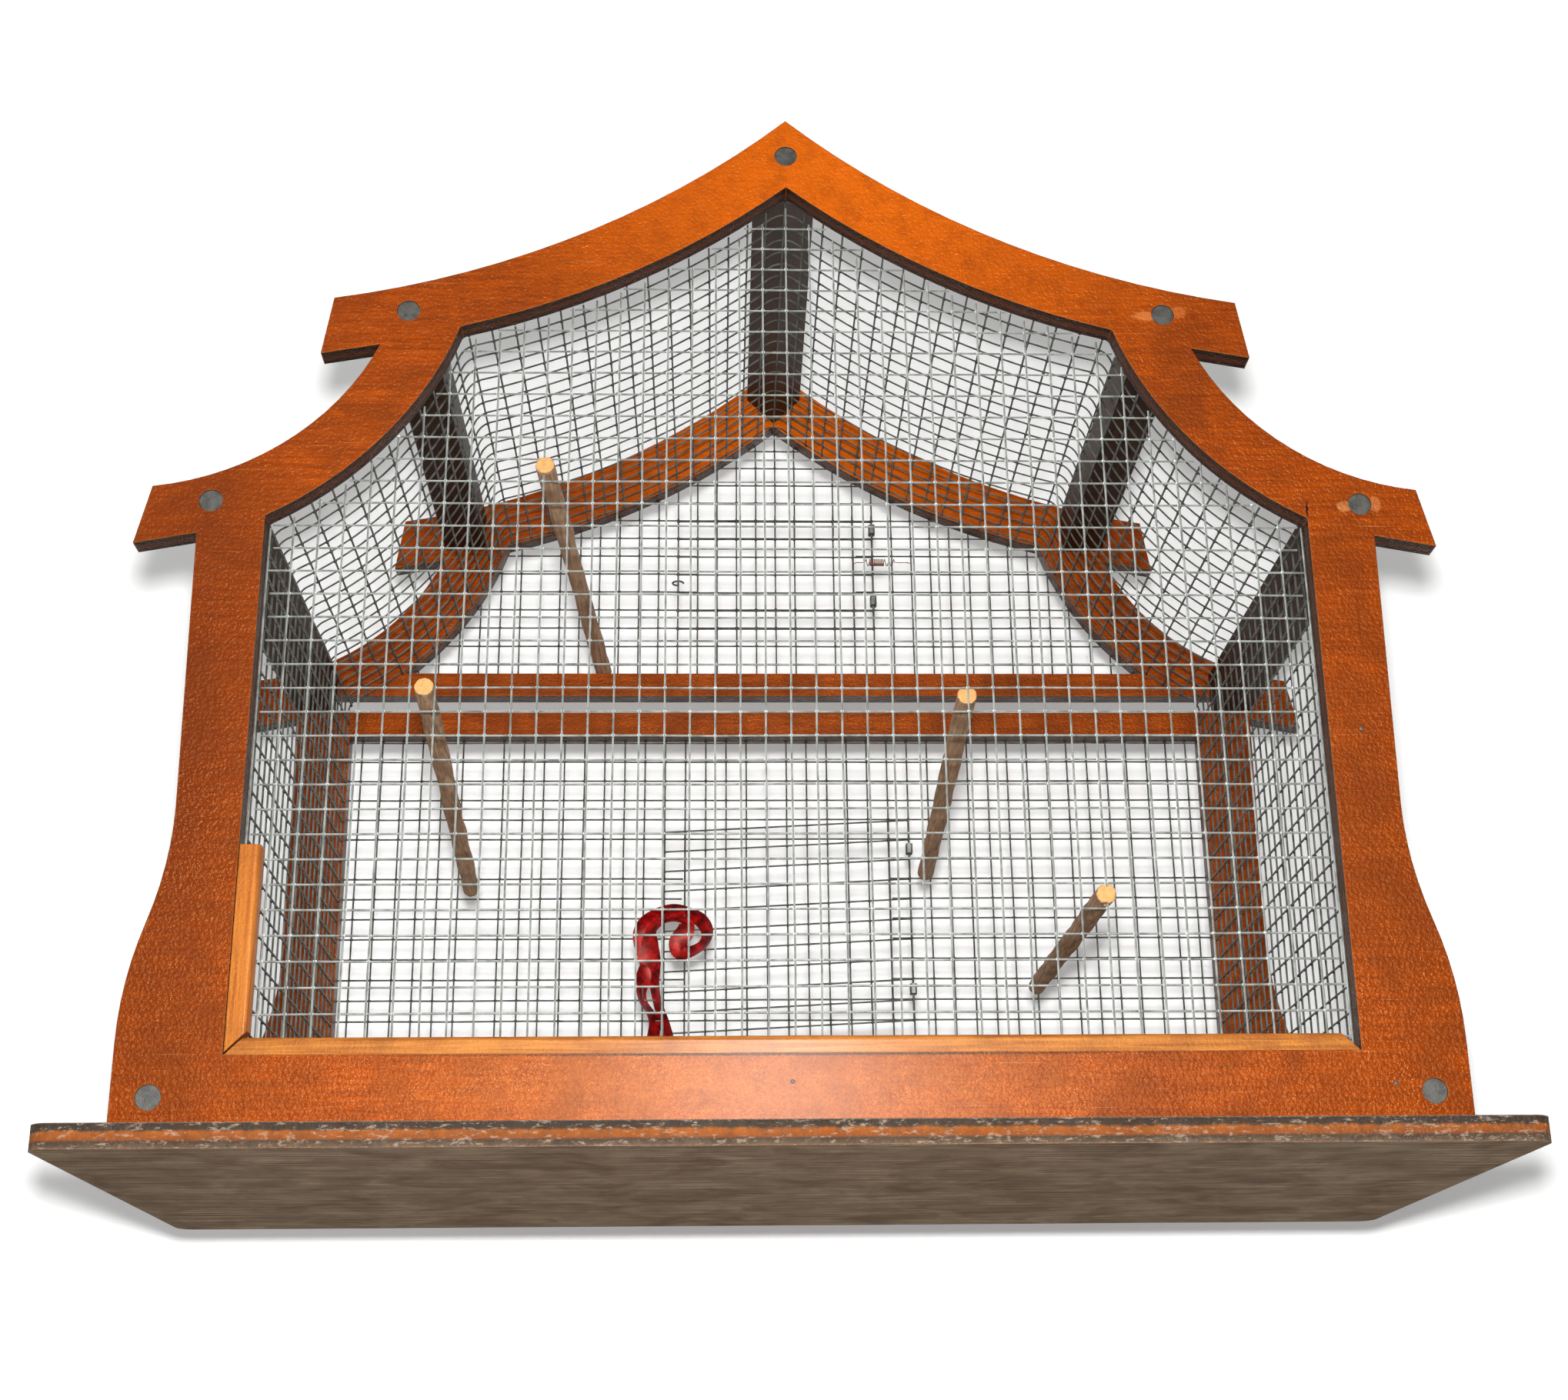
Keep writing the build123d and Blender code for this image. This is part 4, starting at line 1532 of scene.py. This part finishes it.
@dataclass
class TieRibbon:
    """Narrow red ribbon knotted through the lower net beside the door, in one gathered length.

    Its route gives places across and up, how far each stands off and its roll in degrees.
    """

    finish: Finish
    width: float = 12.0
    gathered_share: float = 0.94
    rise: float = 144.9
    shift: float = -2.5
    route: tuple[tuple[float, float, float, float], ...] = (
        (-73.6, 109.4, 0.0, 50), (-72.9, 118.5, -0.5, 55), (-75.5, 125.1, -0.8, 60),
        (-79.7, 131.7, -0.8, 62), (-81.2, 138.8, -0.5, 58), (-79.8, 146.4, 0.0, 35),
        (-76.2, 154.0, 0.2, 0), (-77.8, 161.0, 0.2, -10), (-80.0, 167.9, 0.2, 0),
        (-80.6, 175.0, 0.2, 10), (-77.5, 181.5, 0.0, 35), (-69.4, 187.0, -0.8, 55),
        (-60.9, 189.2, -1.0, 60), (-52.5, 187.0, -1.0, 58), (-44.5, 182.7, -0.8, 50),
        (-40.4, 175.5, -0.5, 50), (-42.6, 168.0, -0.5, 50), (-50.0, 163.0, -0.4, 40),
        (-57.0, 163.2, 0.2, 10), (-58.5, 168.8, -1.5, 0), (-54.2, 175.5, -2.0, 20),
        (-54.5, 181.5, -2.2, 45), (-62.0, 182.4, -2.4, 60), (-69.4, 180.6, -2.0, 55),
        (-75.6, 175.1, -1.6, 40), (-75.6, 166.4, -1.4, 20), (-74.2, 157.8, -1.2, 20),
        (-73.2, 149.6, -0.8, 40), (-72.3, 142.0, -0.8, 58), (-71.0, 134.4, -0.8, 62),
        (-69.0, 127.0, -0.8, 62), (-66.4, 119.5, -0.5, 58), (-64.0, 109.8, -0.2, 52),
    )
    steps: int = 8
    width_shares: tuple[float, ...] = (-0.5, -0.27, 0.0, 0.27, 0.5)
    cup: float = 1.1
    cup_rest: float = 0.5
    map_length: float = 8.0

    def line(self) -> list[tuple[Vector, float]]:
        """Gives smooth points along the ribbon, each with its roll in radians."""
        knots = self.route
        places: list[tuple[float, ...]] = []
        for index in range(len(knots) - 1):
            near = [knots[max(0, min(len(knots) - 1, index + k))] for k in (-1, 0, 1, 2)]
            for step in range(self.steps):
                t = step / self.steps
                weights = (
                    -0.5 * t**3 + t**2 - 0.5 * t,
                    1.5 * t**3 - 2.5 * t**2 + 1,
                    -1.5 * t**3 + 2 * t**2 + 0.5 * t,
                    0.5 * t**3 - 0.5 * t**2,
                )
                places.append(tuple(sum(w * k[i] for w, k in zip(weights, near)) for i in range(4)))
        return [
            (metres(x + self.shift, self.rise + y, z), math.radians(roll))
            for x, z, y, roll in (*places, knots[-1])
        ]

    def build(self) -> bpy.types.Object:
        """Lays the ribbon along its route, gathered and rolled as it is tied."""
        places = self.line()
        shares = self.width_shares
        vertices: list[Vector] = []
        faces: list[tuple[int, ...]] = []
        for index, (place, roll) in enumerate(places):
            after = places[min(index + 1, len(places) - 1)][0]
            before = places[max(index - 1, 0)][0]
            way = (after - before).normalized()
            side = way.cross(Vector((0, -1, 0))).normalized()
            side = Matrix.Rotation(roll, 3, way) @ side
            up = way.cross(side)
            for share in shares:
                cup = self.cup * math.cos(share * math.pi) - self.cup_rest
                reach = share * self.width * self.gathered_share
                vertices.append(place + side * reach * MM + up * cup * MM)
        for row in range(len(places) - 1):
            for column in range(len(shares) - 1):
                corner = row * len(shares) + column
                faces.append((corner, corner + 1, corner + len(shares) + 1, corner + len(shares)))
        mesh = bpy.data.meshes.new("tie_ribbon_cloth")
        mesh.from_pydata([tuple(v) for v in vertices], [], faces)
        layer = mesh.uv_layers.new(name="UVMap")
        for loop in mesh.loops:
            row, column = divmod(loop.vertex_index, len(shares))
            layer.data[loop.index].uv = (row / len(places) * self.map_length, column / len(shares))
        ribbon = linked("tie_ribbon_cloth", mesh)
        activate(ribbon)
        bpy.ops.object.shade_smooth()
        self.finish.dress(ribbon)
        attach(ribbon, "root")
        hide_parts("tie_ribbon")
        return ribbon


@dataclass
class Staples:
    """Wire staples that hold the back nets on the frames, one modelled and the rest copied.

    The heights and places across are those of the right-hand half, and the left one mirrors them.
    """

    sizes: CageSizes
    finish: Finish
    crown: float = 9.0
    gauge: float = 0.9
    proud: float = 3.0
    flat_share: float = 0.6
    into_crown: float = 0.3
    edge: float = 0.15
    off_edge: float = 6.0
    side_heights: tuple[float, ...] = (62, 108, 160, 214, 268)
    sill_places: tuple[float, ...] = (40, 112, 180, 246)
    window_places: tuple[float, ...] = (36, 104, 176, 244)
    gable_places: tuple[float, ...] = (30, 96, 168, 236)
    arch_places: tuple[Pair, ...] = ((34, 33), (92, 29), (150, 23), (196, 48), (236, 48))
    strays: Triple = (3.0, 1.0, 12.0)

    def master(self) -> bpy.types.Object:
        """Models a staple: a flat crown with two legs that turn down into the wood."""
        deselect_all()
        bpy.ops.mesh.primitive_cube_add(size=1.0)
        staple = bpy.context.active_object
        staple.scale = metres(self.crown, self.gauge * self.flat_share, self.gauge)
        applied(staple)
        leg = (self.crown / 2 - self.gauge) * MM
        bpy.ops.object.mode_set(mode="EDIT")
        for place in (-leg, leg):
            bpy.ops.mesh.select_all(action="SELECT")
            bpy.ops.mesh.bisect(plane_co=(place, 0, 0), plane_no=(1, 0, 0))
        bpy.ops.mesh.select_mode(type="FACE")
        bpy.ops.mesh.select_all(action="DESELECT")
        bpy.ops.object.mode_set(mode="OBJECT")
        for face in staple.data.polygons:
            face.select = face.normal.y < -0.9 and abs(face.center.x) > leg
        bpy.ops.object.mode_set(mode="EDIT")
        bpy.ops.mesh.extrude_region_move(
            TRANSFORM_OT_translate={"value": (0, -(self.proud - self.into_crown) * MM, 0)}
        )
        bpy.ops.object.mode_set(mode="OBJECT")
        bevelled(staple, self.edge, 1)
        return staple

    def places(self) -> list[Place]:
        """Gives each staple's place on the back as across, height and turn in degrees."""
        s = self.sizes
        chance = random.Random(29)
        outline = OpeningOutline(s, self.off_edge)
        levels = (
            (self.sill_places, s.sill - self.off_edge),
            (self.window_places, s.lower_window_top + self.off_edge),
            (self.gable_places, s.gable_window_bottom - self.off_edge),
        )
        spots: list[Place] = []
        for side in (-1, 1):
            spots += [(side * (s.opening_half + self.off_edge), z, 90) for z in self.side_heights]
            spots += [(side * x, z, 0) for places, z in levels for x in places]
            spots += [(side * x, outline.top_at(x), -side * tilt) for x, tilt in self.arch_places]
        return [
            tuple(value + chance.uniform(-stray, stray) for value, stray in zip(spot, self.strays))
            for spot in spots
        ]

    def build(self) -> bpy.types.Object:
        """Drives the staples over the nets' wires."""
        master = self.master()
        face = self.sizes.frame_face + 2 * self.sizes.wire + self.gauge * self.flat_share / 2
        pieces = []
        for x, z, turn in self.places():
            tilt = Matrix.Rotation(math.radians(-turn), 4, "Y")
            pieces.append(copied(master, Matrix.Translation(metres(x, face, z)) @ tilt))
        erase(master)
        staples = joined(pieces, "net_staples")
        self.finish.dress(staples)
        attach(staples, "root")
        return staples


@dataclass
class Brads:
    """Small nail heads that hold the front frame to its rails and the base."""

    sizes: CageSizes
    finish: Finish
    places: tuple[Pair, ...] = ((-2.0, 30.6), (283.0, 205.0), (281.5, 28.5))
    radius: float = 1.1
    thickness: float = 0.6
    edge: float = 0.2
    sunk: float = 0.12
    sides: int = 16

    def build(self) -> bpy.types.Object:
        """Models one nail head and copies it to each place."""
        deselect_all()
        bpy.ops.mesh.primitive_cylinder_add(
            vertices=self.sides, radius=self.radius * MM, depth=self.thickness * MM
        )
        head = bpy.context.active_object
        bevelled(head, self.edge, 2)
        face = self.sunk - self.sizes.frame_face
        forwards = Matrix.Rotation(math.radians(90), 4, "X")
        pieces = [
            copied(head, Matrix.Translation(metres(x, face, z)) @ forwards) for x, z in self.places
        ]
        erase(head)
        brads = joined(pieces, "nail_heads")
        smooth(brads, 30)
        self.finish.dress(brads)
        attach(brads, "root")
        return brads


@dataclass
class Branches:
    """Perches as the whittled branches that they are, worked from the CAD dowels.

    Each keeps its dowel's line, its saw cut and its cut back end, and swells and thins between.
    """

    finish: Finish
    merge: float = 0.01
    voxel: float = 1.0
    lump: float = 0.95
    lump_size: Triple = (8.0, 24.0, 8.0)
    shift_steps: Triple = (3.7, 9.1, 5.3)
    plain_end: float = 14.0
    plain_share: float = 0.4

    def build(self) -> list[bpy.types.Object]:
        """Works every perch."""
        nodes = [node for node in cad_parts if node.endswith("perch")]
        return [self.worked(node, seed) for seed, node in enumerate(sorted(nodes))]

    def worked(self, node: str, seed: int) -> bpy.types.Object:
        """Copies a dowel, gives it an even mesh and moves its surface in and out.

        Args:
            node: The dowel's CAD node.
            seed: Picks one pattern of swellings.

        Returns:
            The finished branch.
        """
        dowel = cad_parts[node]
        branch = applied(copied(dowel, dowel.matrix_world.copy()))
        branch.name = branch.data.name = node.replace("perch", "branch")
        bpy.ops.object.mode_set(mode="EDIT")
        bpy.ops.mesh.select_all(action="SELECT")
        bpy.ops.mesh.remove_doubles(threshold=self.merge * MM)
        bpy.ops.object.mode_set(mode="OBJECT")
        even = branch.modifiers.new("even", "REMESH")
        even.mode = "VOXEL"
        even.voxel_size = self.voxel * MM
        activate(branch)
        bpy.ops.object.modifier_apply(modifier="even")
        along = [vertex.co.y for vertex in branch.data.vertices]
        front, back = min(along), max(along)
        shift = Vector(seed * step for step in self.shift_steps)
        normals = [vertex.normal.copy() for vertex in branch.data.vertices]
        for vertex, normal in zip(branch.data.vertices, normals):
            inside = min(vertex.co.y - front, back - vertex.co.y) / (self.plain_end * MM)
            share = min(1.0, max(0.0, inside - self.plain_share))
            place = Vector(c / (size * MM) for c, size in zip(vertex.co, self.lump_size))
            swell = noise.noise(place + shift) * self.lump * share
            vertex.co += normal * swell * MM
        smooth(branch, 40)
        branch.data.materials.clear()
        self.finish.dress(branch)
        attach(branch, "root")
        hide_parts(node)
        return branch


@dataclass
class CadFinishes:
    """Gives each CAD node that stays in view its own finish."""

    finishes: Finishes

    def finish_of(self, node: str) -> Finish:
        """Picks the finish of a node by the first of these words that its name holds.

        Args:
            node: The CAD node's name.

        Returns:
            Its finish, which is bright zinc where no word fits.
        """
        f = self.finishes
        words = {
            "base_board": f.base_ply, "screws": f.black_steel, "frame": f.frame_ply,
            "rail": f.rail_wood, "left_bead": f.side_bead_wood, "bottom_bead": f.bead_wood,
            "perch": f.perch_wood, "clips": f.clip_steel, "hook": f.clip_steel,
            "spring": f.rust, "ribbon": f.ribbon,
        }
        return next((finish for word, finish in words.items() if word in node), f.zinc)

    def dress(self) -> int:
        """Puts the finishes on the nodes.

        Returns:
            How many nodes were dressed.
        """
        for node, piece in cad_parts.items():
            self.finish_of(node).dress(piece)
        return len(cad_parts)


@dataclass(frozen=True)
class Lamp:
    """A soft square lamp: its name, its place and aim in metres, its width and its power."""

    name: str
    place: Place
    aim: Place
    width: float
    watts: float

    def build(self) -> bpy.types.Object:
        """Sets the lamp in the scene."""
        data = bpy.data.lights.new(self.name, "AREA")
        data.size = self.width
        data.energy = self.watts
        lamp = linked(self.name, data)
        way = Vector(self.aim) - Vector(self.place)
        turn = way.to_track_quat("-Z", "Y").to_matrix().to_4x4()
        lamp.matrix_world = Matrix.Translation(self.place) @ turn
        return lamp


@dataclass
class Studio:
    """White stage, soft lamps and the camera that looks up at the front from below the floor.

    Two flashes stand just above the camera, one for the cage and one for the backdrop alone. The
    glint gives the front's varnish its highlight, and the two fills lift the sides and the back.
    Places and sizes are in metres.
    """

    floor_paper: Finish
    back_paper: Finish
    camera_place: Place = (-0.037, -1.1603, -0.1537)
    camera_right: Place = (0.99954, -0.02864, -0.01021)
    camera_up: Place = (-0.0003, -0.3456, 0.9384)
    lens: float = 50.1
    sensor: float = 36.0
    view_end: float = 50.0
    flash_rise: float = 0.058
    flash_aim: Place = (0.0, 0.0, 0.25)
    flash_width: float = 0.035
    flash_watts: float = 11.5
    backdrop_flash_width: float = 0.05
    backdrop_flash_watts: float = 15.5
    glint: Lamp = Lamp("glint", (0.017, -1.16, 0.214), (0.0, -0.146, 0.03), 0.12, 40.0)
    fills: tuple[Lamp, ...] = (
        Lamp("fill", (-1.2, -0.9, 1.3), (0.0, 0.0, 0.25), 1.2, 7.0),
        Lamp("rear_fill", (0.9, 1.6, 1.2), (0.0, 0.1, 0.25), 1.2, 9.0),
    )
    backdrop_y: float = 0.335
    floor_z: float = -0.0006
    reach: float = 5.0
    sky: str = "#FBFBFC"
    sky_light: float = 0.28
    sky_seen: float = 0.97

    def camera(self) -> bpy.types.Object:
        """Sets the camera as the photograph was taken."""
        data = bpy.data.cameras.new("photo_camera")
        data.sensor_fit = "HORIZONTAL"
        data.sensor_width = self.sensor
        data.lens = self.lens
        data.clip_end = self.view_end
        camera = linked("photo_camera", data)
        right = Vector(self.camera_right).normalized()
        up = Vector(self.camera_up)
        up = (up - right * up.dot(right)).normalized()
        back = right.cross(up)
        turn = Matrix((right, up, back)).transposed().to_4x4()
        camera.matrix_world = Matrix.Translation(self.camera_place) @ turn
        bpy.context.scene.camera = camera
        return camera

    def sheet(self, name: str, place: Place, tilt: float, paper: Finish) -> bpy.types.Object:
        """Sets a flat stage surface that casts no shadow.

        Args:
            name: The name of the surface.
            place: Its middle.
            tilt: Its turn about X, in degrees.
            paper: Its finish.

        Returns:
            The surface.
        """
        deselect_all()
        bpy.ops.mesh.primitive_plane_add(size=2 * self.reach)
        surface = bpy.context.active_object
        surface.name = name
        surface.matrix_world = Matrix.Translation(place) @ Matrix.Rotation(math.radians(tilt), 4, "X")
        applied(surface)
        paper.dress(surface)
        surface.visible_shadow = False
        surface.visible_diffuse = False
        return surface

    def world(self) -> None:
        """Gives the scene pale light from all round, and white where the camera sees past the stage."""
        world = bpy.data.worlds.new("soft_white")
        world.use_nodes = True
        world.node_tree.nodes.clear()
        add = partial(add_node, world.node_tree)
        rays = add("LightPath").outputs
        seen = rays["Is Camera Ray"]
        for kind in ("Is Transmission Ray", "Is Glossy Ray"):
            seen = add("Math", {"operation": "MAXIMUM", 0: seen, 1: rays[kind]})
        strength = add("MapRange", {"Value": seen, "To Min": self.sky_light, "To Max": self.sky_seen})
        add("OutputWorld", {"Surface": add("Background", {"Color": self.sky, "Strength": strength})})
        bpy.context.scene.world = world

    def build(self) -> None:
        """Sets up the camera, the stage and the light."""
        flash = tuple(self.camera().matrix_world @ Vector((0.0, self.flash_rise, 0.0)))
        backdrop = self.sheet("backdrop", (0.0, self.backdrop_y, 0.0), 90, self.back_paper)
        self.sheet("floor", (0.0, 0.0, self.floor_z), 0, self.floor_paper)
        Lamp("flash", flash, self.flash_aim, self.flash_width, self.flash_watts).build()
        behind = bpy.data.collections.new("backdrop_alone")
        behind.objects.link(backdrop)
        shade = Lamp(
            "backdrop_flash", flash, self.flash_aim, self.backdrop_flash_width, self.backdrop_flash_watts
        ).build()
        shade.light_linking.receiver_collection = behind
        self.glint.build().visible_diffuse = False
        for fill in self.fills:
            fill.build()
        self.world()
        bpy.context.scene.view_settings.view_transform = "Standard"

    def spare(self, pieces: Sequence[bpy.types.Object]) -> None:
        """Keeps the glint off some pieces.

        Args:
            pieces: The pieces that it passes by.
        """
        lamp = bpy.data.objects[self.glint.name]
        dark = bpy.data.collections.new(f"{lamp.name}_spares")
        for piece in pieces:
            dark.objects.link(piece)
        for member in dark.collection_objects:
            member.light_linking.link_state = "EXCLUDE"
        lamp.light_linking.receiver_collection = dark


def main() -> None:
    """Dresses the cage, piece by piece."""
    logging.basicConfig(level=logging.INFO, format="%(name)s: %(message)s")
    finishes, sizes = Finishes(), CageSizes()
    stock = WireStock(sizes.wire)
    studio = Studio(finishes.floor_paper, finishes.back_paper)
    studio.build()
    LOG.info("finished %d CAD nodes", CadFinishes(finishes).dress())
    pieces = Nets(sizes, finishes.zinc, finishes.shaded_zinc, stock).build()
    pieces.append(WrapNet(sizes, finishes.shaded_zinc, stock).build())
    stock.clear()
    pieces.append(ClosingSpring(finishes.rust).build())
    pieces.append(TieRibbon(finishes.ribbon).build())
    pieces.append(Staples(sizes, finishes.staple_steel).build())
    pieces.append(Brads(sizes, finishes.black_steel).build())
    pieces += Branches(finishes.perch_wood).build()
    for piece in pieces:
        LOG.info("built %s with %d faces", piece.name, len(piece.data.polygons))
    studio.spare([piece for piece in pieces if piece.name.endswith("net")])
    deselect_all()


if __name__ == "__main__":
    main()
